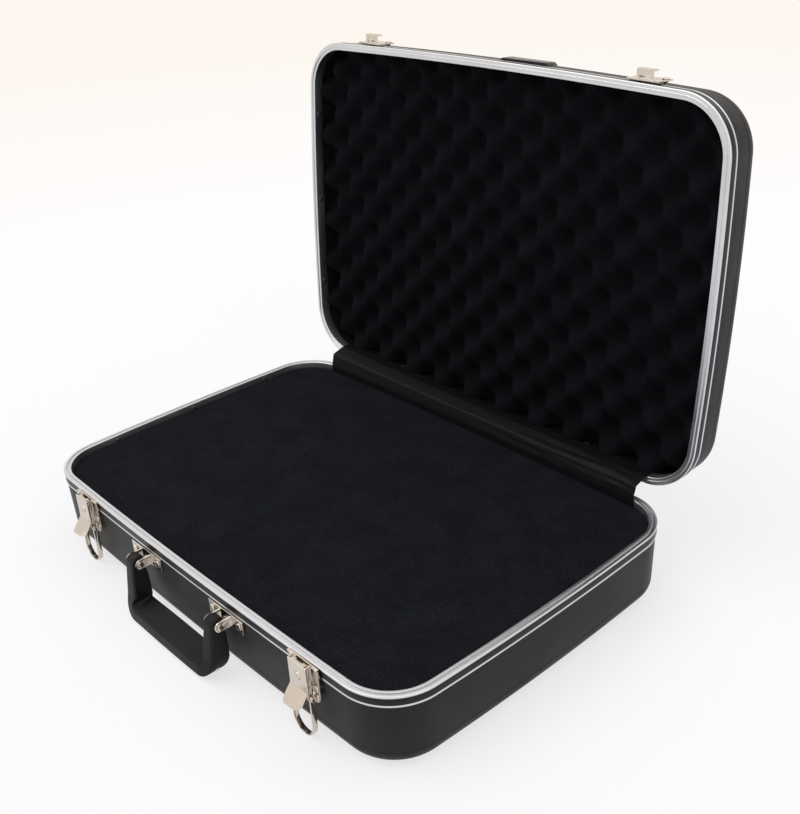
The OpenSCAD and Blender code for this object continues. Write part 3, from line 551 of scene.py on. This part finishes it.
def group_outputs(tree, build, title, inputs):
    """Outputs of the named shader group placed in a material; it is built the first time."""
    group = bpy.data.node_groups.get(title) or build()
    return add_node(tree, "ShaderNodeGroup", inputs, node_tree=group).outputs


def new_finish(name):
    """A material, its node tree, its Principled BSDF's inputs and the object's own coordinates."""
    material = bpy.data.materials.new(name)
    material.use_nodes = True
    tree = material.node_tree
    place = add_node(tree, "ShaderNodeTexCoord").outputs["Object"]
    return material, tree, tree.nodes["Principled BSDF"].inputs, place


def tint(tree, share, low, high):
    """Colour between two, by a share. Each is a plain colour or another node's output."""
    ends = [end if isinstance(end, bpy.types.NodeSocket) else (*end, 1) for end in (low, high)]
    mix = add_node(tree, "ShaderNodeMix", {0: share, 6: ends[0], 7: ends[1]}, data_type="RGBA")
    return mix.outputs[2]


def scaled(rgb, factor):
    """A colour made darker or lighter."""
    return tuple(min(1.0, c * factor) for c in rgb)


def bump(tree, bsdf, height, strength, distance):
    """Relief from a height that is worth so many metres at 1."""
    inputs = {"Height": height, "Strength": strength, "Distance": distance}
    tree.links.new(add_node(tree, "ShaderNodeBump", inputs).outputs["Normal"], bsdf["Normal"])


def grained(name, rgb, roughness, spread, cells, depth):
    """Moulded plastic or rubber with a leather grain."""
    material, tree, bsdf, place = new_finish(name)
    grain = group_outputs(tree, leather_grain_group, "Leather grain", {"Vector": place, "Cells": cells})
    tree.links.new(tint(tree, grain["Mask"], scaled(rgb, 0.9), scaled(rgb, 1.14)), bsdf["Base Color"])
    worn = stretch(tree, grain["Mask"], 0.3, 0.7, roughness - spread, roughness + spread)
    tree.links.new(worn, bsdf["Roughness"])
    bsdf["Specular IOR Level"].default_value = 0.22
    bump(tree, bsdf, grain["Height"], 0.55, depth)
    return material


def foamed(name, rgb, glint_share, pores):
    """Charcoal open-cell foam."""
    material, tree, bsdf, place = new_finish(name)
    inputs = {"Vector": place, "Pores": pores, "Glint share": glint_share}
    cells = group_outputs(tree, open_cell_group, "Open cells", inputs)
    body = tint(tree, cells["Clump"], scaled(rgb, 0.86), scaled(rgb, 1.18))
    # Painted glints: the colour goes five times lighter on the glint dots.
    tree.links.new(tint(tree, cells["Glint"], body, scaled(rgb, 5.0)), bsdf["Base Color"])
    bsdf["Roughness"].default_value = 0.95
    bsdf["Specular IOR Level"].default_value = 0.03
    bump(tree, bsdf, cells["Height"], 0.8, 0.5 * MM)
    return material


def plated(name, rgb, roughness, smears, brushed):
    """Plated or drawn metal with faint smears."""
    material, tree, bsdf, place = new_finish(name)
    marks = group_outputs(tree, handling_group, "Handling", {"Vector": place, "Smears": smears})
    tree.links.new(tint(tree, marks["Smear"], scaled(rgb, 0.93), rgb), bsdf["Base Color"])
    touched = stretch(tree, marks["Smear"], 0.0, 1.0, roughness * 1.15, roughness * 0.9)
    tree.links.new(touched, bsdf["Roughness"])
    bsdf["Metallic"].default_value = 1.0
    bump(tree, bsdf, marks["Scratch"], brushed, 0.05 * MM)
    return material


def woven(name, rgb, threads):
    """Coated cloth: a fine weave, and a crease noise that raises faint creases and also makes the colour
    darker and lighter.
    """
    material, tree, bsdf, place = new_finish(name)
    inputs = {"Vector": place, "Scale": threads, "Distortion": 0.6}
    bands = [add_node(tree, "ShaderNodeTexWave", inputs, bands_direction=axis) for axis in "XZ"]
    weave = combine(tree, "MAXIMUM", bands[0].outputs["Fac"], bands[1].outputs["Fac"])
    creases = noise_texture(tree, place, 60.0, 5.0)["Fac"]
    # The colour follows the crease noise: lighter where the crease relief is high, darker where it is low.
    tree.links.new(tint(tree, creases, scaled(rgb, 0.7), scaled(rgb, 1.5)), bsdf["Base Color"])
    bsdf["Roughness"].default_value = 0.52
    bsdf["Specular IOR Level"].default_value = 0.13
    bump(tree, bsdf, combine(tree, "ADD", weave, creases), 0.4, 0.2 * MM)
    return material


# How each finish is built, its colour and its values. Cells, pores, smears and threads go by the metre.
FINISHES = {
    "Moulded shell": (grained, "shell", dict(roughness=0.45, spread=0.07, cells=900, depth=0.18 * MM)),
    "Handle rubber": (grained, "grip", dict(roughness=0.56, spread=0.14, cells=700, depth=0.2 * MM)),
    "Vinyl band": (grained, "vinyl", dict(roughness=0.34, spread=0.06, cells=1600, depth=0.03 * MM)),
    "Name plate gloss": (grained, "plate", dict(roughness=0.22, spread=0.05, cells=1500, depth=0.02 * MM)),
    "Base foam": (foamed, "foam", dict(glint_share=0.6, pores=900)),
    # Lid foam: darker colour and fewer painted glints than the base foam, as painted shade.
    "Lid foam": (foamed, "lid_foam", dict(glint_share=0.3, pores=1100)),
    "Flap cloth": (woven, "flap", dict(threads=420)),
    "Drawn aluminium": (plated, "rim", dict(roughness=0.33, smears=30, brushed=0.03)),
    "Bright nickel": (plated, "nickel", dict(roughness=0.2, smears=90, brushed=0.02)),
    "Dull steel": (plated, "dull", dict(roughness=0.5, smears=90, brushed=0.05)),
    "Zinc plated steel": (plated, "steel", dict(roughness=0.34, smears=90, brushed=0.05)),
}


def finish(name):
    """The named finish, built the first time it is asked for."""
    known = bpy.data.materials.get(name)
    if known:
        return known
    build, colour_name, values = FINISHES[name]
    return build(name, tuple(getattr(colours(), colour_name)), **values)


# Pieces


def shell_profile(s, height, rounding, crease):
    """Closed half shell from the middle of its outer face, round its rim edge and back inside."""
    side_play, end_play = 0.3 * MM, 0.2 * MM
    tight, soft = 0.2 * MM, 0.3 * MM
    slot = s.shell_step + s.web + side_play
    slot_top = s.bead_height + s.web + end_play
    lean = s.shell_step + s.draft
    joggle = s.rim_height + end_play
    outer = quarter_turn(lean, height, rounding)[::-1]
    inner = quarter_turn(lean + s.wall, height - s.wall, rounding - s.wall)
    inset, top = outer[-1]
    bends = [
        (*outer[-2], 0),
        (inset, top, soft),
        (inset - 0.02 * MM, top - 0.8 * MM, soft),
        (inset + crease, top - 1.3 * MM, soft),
        (inset - 0.05 * MM, top - 1.8 * MM, soft),
        (s.shell_step, joggle, 0.4 * MM),
        (slot, joggle, tight),
        (slot, slot_top, tight),
        (slot + s.wall, slot_top, tight),
        (slot + s.wall, joggle + 0.4 * MM, soft),
        (s.shell_step + s.wall, joggle + s.wall, soft),
        (*inner[0], 0),
    ]
    return outer[:-2] + rounded(bends) + inner[1:]


class CASE_OT_shells(Operator):
    """Moulded base and lid with their edge roundings and wall seats"""

    bl_idname = "case.shells"
    bl_label = "Shells"

    def execute(self, context):
        s = sizes()
        outline = Outline(s)
        halves = (
            ("base", in_base(), shell_profile(s, s.base_height, s.base_rounding, s.base_crease)),
            ("lid", in_lid(), shell_profile(s, s.lid_height, s.lid_rounding, s.lid_crease)),
        )
        for body, place, profile in halves:
            shell = finish_mesh(sweep(outline, profile), body + "_shell_moulding", place)
            settle(shell, finish("Moulded shell"), body, body + "_shell")
        return {"FINISHED"}


def rim_profile(s, half_width, level, root, end):
    """Drawn rim section. Its face has a groove or a tongue, whose corners have radii root and end."""
    w, h, bead, web, step = s.rim_width, s.rim_height, s.bead_height, s.web, s.shell_step
    lip = h - s.lip_height
    nose = 0.2 * MM
    near, far = w / 2 + half_width, w / 2 - half_width
    return rounded(
        [
            (0, 0, 0.9 * MM),
            (0, bead, 0.9 * MM),
            (step, bead, 0.15 * MM),
            (step, lip, 0.15 * MM),
            (nose, lip, 0.7 * MM),
            (nose, h, 0.7 * MM),
            (step + web, h, 0.2 * MM),
            (step + web, bead + web, 0.2 * MM),
            (w - web, bead + web, 0.2 * MM),
            (w - web, h, 0.3 * MM),
            (w, h, 0.3 * MM),
            (w, 0, 0.7 * MM),
            (near, 0, root),
            (near, level, end),
            (far, level, end),
            (far, 0, root),
        ],
        closed=True,
    )


class CASE_OT_rims(Operator):
    """Drawn metal rims with the vinyl band let into each"""

    bl_idname = "case.rims"
    bl_label = "Rims and bands"

    def execute(self, context):
        s = sizes()
        outline = Outline(s)
        groove = rim_profile(s, s.groove_width / 2, s.groove_depth, 0.25 * MM, 0.2 * MM)
        tongue = rim_profile(s, s.tongue_width / 2, -s.tongue_height, 0.1 * MM, 0.3 * MM)
        play = 0.02 * MM
        outer, inner = s.shell_step - s.band_thickness, s.shell_step - play / 2
        low, high = s.bead_height + play, s.rim_height - s.lip_height - play
        band_section = [
            (outer, low, 0.3 * MM),
            (outer, high, 0.3 * MM),
            (inner, high, 0.1 * MM),
            (inner, low, 0.1 * MM),
        ]
        for body, place, profile in (("base", in_base(), groove), ("lid", in_lid(), tongue)):
            rim = sweep(outline, profile, closed=True)
            rim = finish_mesh(rim, body + "_rim_drawn", place, math.radians(30))
            settle(rim, finish("Drawn aluminium"), body, body + "_rim")
            band = sweep(outline, rounded(band_section, closed=True), closed=True)
            band = finish_mesh(band, body + "_band_vinyl", place)
            settle(band, finish("Vinyl band"), body, body + "_vinyl_band")
        return {"FINISHED"}


BASE_FOAM_GRID = (150, 104)
LID_FOAM_GRID = (210, 144)
FLAP_GRID = (220, 44)


def foam_block(outline, inset, cells, height, skirt):
    """Foam cut to the outline: a face at height(x, y) and a skirt of (more inset, height) rings."""
    bm = bmesh.new()
    bmesh.ops.create_grid(bm, x_segments=cells[0], y_segments=cells[1], size=1)
    for v in bm.verts:
        x, y = outline.fit(v.co.x, v.co.y, inset)
        v.co = (x, y, height(x, y))
    ring = [e for e in bm.edges if e.is_boundary]
    half_w, half_d = outline.half_w - inset, outline.half_d - inset
    taken = 0.0
    for more, z in skirt:
        grown = bmesh.ops.extrude_edge_only(bm, edges=ring)["geom"]
        fresh = {g for g in grown if isinstance(g, bmesh.types.BMVert)}
        for v in fresh:
            v.co.x *= (half_w - more) / (half_w - taken)
            v.co.y *= (half_d - more) / (half_d - taken)
            v.co.z = z
        taken = more
        ring = [g for g in grown if isinstance(g, bmesh.types.BMEdge) and set(g.verts) <= fresh]
    bmesh.ops.contextual_create(bm, geom=ring)
    return bm


class CASE_OT_base_foam(Operator):
    """Flat foam in the base, with a slightly uneven cut face"""

    bl_idname = "case.base_foam"
    bl_label = "Base foam"

    def execute(self, context):
        s = sizes()
        outline = Outline(s)
        inset, top = s.foam_inset, s.base_foam_drop
        sunk, reach, uneven = 1.1 * MM, 1.6 * MM, 0.3 * MM

        def face(x, y):
            edge = min(outline.side(y, inset) - abs(x), outline.front(x, inset) - abs(y))
            wave = lumps(x, y, 16, 16, 0.3) + 0.4 * lumps(x, y, 70, 70, 4.0)
            return top + sunk * math.exp(-max(0.0, edge) / reach) + uneven * wave

        floor = s.base_height - s.wall - 0.3 * MM
        turn = quarter_turn(0, floor, s.base_rounding - s.wall, 5)
        bm = foam_block(outline, inset, BASE_FOAM_GRID, face, [(0, top + 3 * MM), *turn])
        piece = finish_mesh(bm, "base_foam_block", in_base(), math.radians(60))
        settle(piece, finish("Base foam"), "base", "base_foam")
        return {"FINISHED"}


class CASE_OT_lid_foam(Operator):
    """Convoluted foam in the lid, its crests and hollows alternating like an egg tray"""

    bl_idname = "case.lid_foam"
    bl_label = "Lid foam"

    def execute(self, context):
        s = sizes()
        outline = Outline(s)
        top = s.lid_foam_drop + 0.3 * MM
        astray, uneven = 0.8 * MM, 0.5 * MM
        plain, swollen = 0.55, 0.45

        def face(x, y):
            drift = lumps(x, y, 9, 9, 7.0) * astray
            wave = math.cos(math.pi * (x + drift) / s.egg_across)
            wave *= math.cos(math.pi * (y - drift) / s.egg_along)
            full = plain * wave + swollen * wave * (1.5 - 0.5 * wave * wave)
            return top + s.egg_height * (0.5 - 0.5 * full) + lumps(x, y, 25, 25, 1.0) * uneven

        back = s.lid_height - s.wall - 0.4 * MM
        skirt = [(0, back - s.lid_rounding / 2), (2.5 * MM, back - 3 * MM), (7 * MM, back)]
        bm = foam_block(outline, s.foam_inset, LID_FOAM_GRID, face, skirt)
        piece = finish_mesh(bm, "lid_foam_convoluted", in_lid(), math.radians(65))
        settle(piece, finish("Lid foam"), "lid", "lid_foam")
        return {"FINISHED"}


class CASE_OT_hinge_flap(Operator):
    """Cloth flap that bows over the hinge and is tucked in behind both rims"""

    bl_idname = "case.hinge_flap"
    bl_label = "Hinge flap"

    def execute(self, context):
        s = sizes()
        outline = Outline(s)
        pin = Vector(JOINTS["lid_hinge"]["pos_m"])
        swing = math.radians(JOINTS["lid_hinge"]["range_deg"][1])
        in_front = 0.8 * MM
        drift, bulge = 0.03, 0.10
        left_depth, right_depth = 0.12 * MM, 1.5 * MM
        mean_radius = pin.y - outline.front(0, s.rim_width) + in_front
        arc = mean_radius * swing
        total = arc + 2 * s.flap_tuck
        half = s.flap_width / 2 - 0.5 * MM
        bm = bmesh.new()
        bmesh.ops.create_grid(bm, x_segments=FLAP_GRID[0], y_segments=FLAP_GRID[1], size=1)
        for v in bm.verts:
            x, run = v.co.x * half, (v.co.y + 1) / 2 * total
            share = min(1.0, max(0.0, (run - s.flap_tuck) / arc))
            fold = s.flap_crease + drift * lumps(x, 0.0, 14, 1, 3.0)
            panel = fold if share < fold else 1 - fold
            to_fold = (share if share < fold else 1 - share) / panel
            span = swing * panel
            radius = pin.y - outline.front(x, s.rim_width) + in_front
            radius *= math.cos(span / 2) / math.cos(span * (to_fold - 0.5)) * (1 + bulge * to_fold)
            wrinkles = lumps(x, run, 16, 230, 2.0) + 0.6 * lumps(x, run, 45, 420, 9.0)
            reach = math.sin(math.pi * share) * min(1.0, 3 * (1 - to_fold) + 0.25)
            radius += reach * (left_depth + right_depth * (0.5 + 0.5 * x / half) ** 3) * wrinkles
            angle = math.pi - swing * share
            y, z = radius * math.cos(angle), radius * math.sin(angle)
            if run < s.flap_tuck:
                z -= s.flap_tuck - run
            elif run > s.flap_tuck + arc:
                beyond = run - s.flap_tuck - arc
                y += beyond * math.sin(swing)
                z += beyond * math.cos(swing)
            v.co = (x, pin.y + y, pin.z + z)
        piece = finish_mesh(bm, "hinge_flap_cloth", None, math.radians(80), recalc=False)
        thick = piece.modifiers.new("Thickness", "SOLIDIFY")
        thick.thickness, thick.offset = s.flap_thickness * 0.7, 0.0
        piece.data.materials.append(finish("Flap cloth"))
        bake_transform(piece)
        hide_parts("hinge_flap")
        return {"FINISHED"}


def grip_section(centre, across, normal_half, depth_half, radius, share):
    """Section of the handle. across points to the inside of the U; share 0 is a leg, 1 the dished bar."""
    bar_lip, dish, lip_radius, nose_radius = 6.2 * MM, 0.8 * MM, 0.8 * MM, 0.7 * MM
    lip = normal_half * (1 - share) + share * (bar_lip - normal_half)
    back, front = normal_half + 0.6 * MM * share, depth_half + 1.2 * MM * share
    corners = [
        (back, depth_half + 0.6 * MM * share, radius * (1 - 0.4 * share)),
        (share * 1.2 * MM - normal_half, depth_half - 1.6 * MM * share, radius),
        (-normal_half - 1.7 * MM * share, -front, radius * (1 - share) + nose_radius * share),
        (lip, -front, radius * (1 - share) + lip_radius * share),
    ]
    start, end = Vector(corners[3][:2]), Vector(corners[0][:2])
    for part in (0.25, 0.5, 0.75):
        point = start.lerp(end, part) - Vector((dish * share * math.sin(math.pi * part), 0))
        corners.append((*point, 2 * MM))
    section = rounded(corners, closed=True, steps=6)
    return [centre + across * n + Vector((0, 1, 0)) * d for n, d in section]


class CASE_OT_grip(Operator):
    """Moulded handle: two legs that widen downwards and a dished bar, rounded at the pins"""

    bl_idname = "case.grip"
    bl_label = "Handle grip"

    def execute(self, context):
        s = sizes()
        leg_w, leg_d = s.grip_leg_width / 2, s.grip_leg_depth / 2
        bar_h, bar_d = s.grip_height / 2, s.grip_depth / 2
        wider, deeper = s.grip_flare / 4, s.grip_flare / 2
        inwards = Vector((1, 0, 0))
        steps, end_steps, leg_steps = 8, 9, 10
        half = []
        for step in range(end_steps, 0, -1):
            a = math.radians(86) * step / end_steps
            centre = Vector((-s.grip_reach, 0, leg_d * math.sin(a)))
            wide, deep = leg_w - 1.2 * MM * math.sin(a) ** 4, leg_d * math.cos(a)
            half.append((centre, inwards, wide, deep, min(3 * MM, deep * 0.8), 0))
        straight = s.grip_drop - s.grip_turn
        for step in range(leg_steps):
            down = straight * step / leg_steps
            share = min(1.0, max(0.0, (down - s.grip_clear) / (straight - s.grip_clear)))
            grown = share**0.7
            centre = Vector((-s.grip_reach + wider * grown, deeper * grown, -down))
            half.append((centre, inwards, leg_w + wider * grown, leg_d + deeper * grown, 3.2 * MM, 0))
        hub = Vector((-s.grip_reach + wider + s.grip_turn, 0, -straight))
        for step in range(steps + 1):
            share = step / steps
            a = math.pi + math.pi / 2 * share
            out = Vector((math.cos(a), 0, math.sin(a)))
            high = (leg_w + wider) * (1 - share) + bar_h * share
            deep = (leg_d + deeper) * (1 - share) + (bar_d + 0.3 * MM) * share
            bent = share * share * (3 - 2 * share)
            centre = hub + out * s.grip_turn + Vector((0, deeper * (1 - share), 0))
            half.append((centre, -out, high, deep, (3.2 - 0.6 * share) * MM, bent))
        for step in range(1, steps + 1):
            share = step / steps
            centre = Vector((hub.x * (1 - share), 0, -s.grip_drop))
            swell = (0.3 + 0.4 * math.sin(math.pi / 2 * share)) * MM
            half.append((centre, Vector((0, 0, 1)), bar_h, bar_d + swell, 2.6 * MM, 1))
        loops = [grip_section(*station) for station in half]
        mirrored = [[Vector((-p.x, p.y, p.z)) for p in loop] for loop in reversed(loops[:-1])]
        bm = bmesh.new()
        loft(bm, loops + mirrored)
        piece = finish_mesh(bm, "handle_grip_moulded", handle_place(), math.radians(50))
        settle(piece, finish("Handle rubber"), "handle", "handle_grip")
        return {"FINISHED"}


NICKEL_STARTS = ("bail_pin", "catch_", "handle_bracket", "handle_pin", "latch_", "lock_")
DONE_ELSEWHERE = ("base_shell", "lid_shell", "hinge_flap", "handle_grip", "name_plate")
DONE_ENDINGS = ("_foam", "_rim", "_band")


class CASE_OT_fittings(Operator):
    """Latches, catches, brackets, hinges, pins, rivets and the blank name plate"""

    bl_idname = "case.fittings"
    bl_label = "Metal fittings"

    def execute(self, context):
        s = sizes()
        for node in sorted(NODES):
            if node in DONE_ELSEWHERE or node.endswith(DONE_ENDINGS):
                continue
            metal = "Zinc plated steel"
            if node.startswith(NICKEL_STARTS):
                metal = "Bright nickel"
            elif node.endswith("_rim_rivets"):
                metal = "Dull steel"
            dressed(node, finish(metal), s.catch_edge if node.startswith("catch_") else s.edge)
        dressed("name_plate", finish("Name plate gloss"), s.plate_edge)
        return {"FINISHED"}


# Each lamp: name, place, width in metres and power in watts.
LAMPS = (
    ("Key lamp", (-0.8, -0.9, 2.4), 3.0, 34.0),
    ("Fill lamp", (1.9, -0.6, 1.3), 2.0, 7.0),
    ("Back lamp", (0.2, 1.6, 1.9), 2.0, 9.0),
)
LAMPS_AIM = (0, 0, 0.1)
FLOOR_RADIUS = 6.0
CAMERA_PLACE = (0.6178, -0.4629, 0.5356)
CAMERA_RIGHT = (0.6732, 0.7375, -0.0545)
CAMERA_BACK = (0.6710, -0.5785, 0.4636)
CAMERA_LENS = 49.31
CAMERA_SENSOR = 36.0


def seen_directly(tree):
    """1 for rays from the camera, mirrors and glass, 0 for light that falls on things."""
    path = add_node(tree, "ShaderNodeLightPath").outputs
    seen = combine(tree, "MAXIMUM", path["Is Camera Ray"], path["Is Glossy Ray"])
    return combine(tree, "MAXIMUM", seen, path["Is Transmission Ray"])


def mix_shaders(tree, share, first, second, output):
    """Shader between two, by a share, as the output node's surface."""
    mix = add_node(tree, "ShaderNodeMixShader", {0: share, 1: first, 2: second})
    tree.links.new(mix.outputs[0], tree.nodes[output].inputs["Surface"])


class CASE_OT_stage(Operator):
    """Pale studio floor and surroundings, soft lamps and the camera"""

    bl_idname = "case.stage"
    bl_label = "Stage"

    def execute(self, context):
        scene = context.scene
        scene.view_settings.view_transform = "Standard"
        self.floor()
        self.surroundings(scene)
        for lamp in LAMPS:
            self.lamp(*lamp)
        self.camera(scene)
        return {"FINISHED"}

    def floor(self):
        """Floor that shows shadows near the case and turns into evenly lit paper further out."""
        bm = bmesh.new()
        bmesh.ops.create_circle(bm, cap_ends=True, segments=96, radius=FLOOR_RADIUS)
        floor = finish_mesh(bm, "studio_floor", recalc=False)
        material, tree, bsdf, place = new_finish("Studio floor")
        bsdf["Base Color"].default_value = (*colours().floor, 1)
        bsdf["Roughness"].default_value = 0.9
        bsdf["Specular IOR Level"].default_value = 0.1
        away = add_node(tree, "ShaderNodeVectorMath", {0: place}, operation="LENGTH").outputs["Value"]
        glow = stretch(tree, away, 0.25, 0.80, 0.68, 1.0)
        paper = tint(tree, stretch(tree, away, 0.8, 2.5), (1.0, 0.99, 1.0), colours().backdrop)
        white = add_node(tree, "ShaderNodeEmission", {"Color": paper, "Strength": 1.0})
        share = combine(tree, "MULTIPLY", glow, seen_directly(tree))
        lit = tree.nodes["Principled BSDF"].outputs[0]
        mix_shaders(tree, share, lit, white.outputs[0], "Material Output")
        floor.data.materials.append(material)

    def surroundings(self, scene):
        """Soft light from all round, with the backdrop's colour where it is seen."""
        world = bpy.data.worlds.new("Studio")
        world.use_nodes = True
        tree = world.node_tree
        soft = tree.nodes["Background"]
        soft.inputs["Color"].default_value = (0.96, 0.97, 1.0, 1)
        soft.inputs["Strength"].default_value = 0.55
        backdrop = (*colours().backdrop, 1)
        paper = add_node(tree, "ShaderNodeBackground", {"Color": backdrop, "Strength": 1.0})
        mix_shaders(tree, seen_directly(tree), soft.outputs[0], paper.outputs[0], "World Output")
        scene.world = world

    def lamp(self, name, place, size, power):
        """Round area lamp turned towards the case."""
        light = bpy.data.lights.new(name, "AREA")
        light.shape, light.size, light.energy = "DISK", size, power
        lamp = bpy.data.objects.new(name, light)
        bpy.context.scene.collection.objects.link(lamp)
        lamp.location = place
        lamp.rotation_euler = (Vector(LAMPS_AIM) - Vector(place)).to_track_quat("-Z", "Y").to_euler()

    def camera(self, scene):
        """Camera from its place, its right and the way back from what it sees."""
        data = bpy.data.cameras.new("Camera")
        data.sensor_fit, data.sensor_width, data.lens = "HORIZONTAL", CAMERA_SENSOR, CAMERA_LENS
        data.clip_start, data.clip_end = 0.02, 30.0
        camera = bpy.data.objects.new("Camera", data)
        scene.collection.objects.link(camera)
        right = Vector(CAMERA_RIGHT).normalized()
        back = Vector(CAMERA_BACK)
        back = (back - right * back.dot(right)).normalized()
        turn = Matrix((right, back.cross(right), back)).transposed().to_4x4()
        camera.matrix_world = Matrix.Translation(CAMERA_PLACE) @ turn
        scene.camera = camera


class CASE_PT_panel(Panel):
    """Sizes, colours and the building steps of the case"""

    bl_idname = "CASE_PT_panel"
    bl_label = "Laptop hard case"
    bl_space_type = "VIEW_3D"
    bl_region_type = "UI"
    bl_category = "Case"

    def draw(self, context):
        for group in (context.scene.case_sizes, context.scene.case_colours):
            box = self.layout.box()
            for name in group.__annotations__:
                box.prop(group, name)
        for step in STEPS:
            self.layout.operator(step.bl_idname)


STEPS = (
    CASE_OT_stage,
    CASE_OT_shells,
    CASE_OT_rims,
    CASE_OT_base_foam,
    CASE_OT_lid_foam,
    CASE_OT_hinge_flap,
    CASE_OT_grip,
    CASE_OT_fittings,
)
CLASSES = (CaseSizes, CaseColours, *STEPS, CASE_PT_panel)


def register():
    for cls in CLASSES:
        bpy.utils.register_class(cls)
    bpy.types.Scene.case_sizes = PointerProperty(type=CaseSizes)
    bpy.types.Scene.case_colours = PointerProperty(type=CaseColours)


def unregister():
    del bpy.types.Scene.case_colours
    del bpy.types.Scene.case_sizes
    for cls in reversed(CLASSES):
        bpy.utils.unregister_class(cls)


def main():
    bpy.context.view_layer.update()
    register()
    for step in STEPS:
        group, name = step.bl_idname.split(".")
        getattr(getattr(bpy.ops, group), name)()


if __name__ == "__main__":
    main()
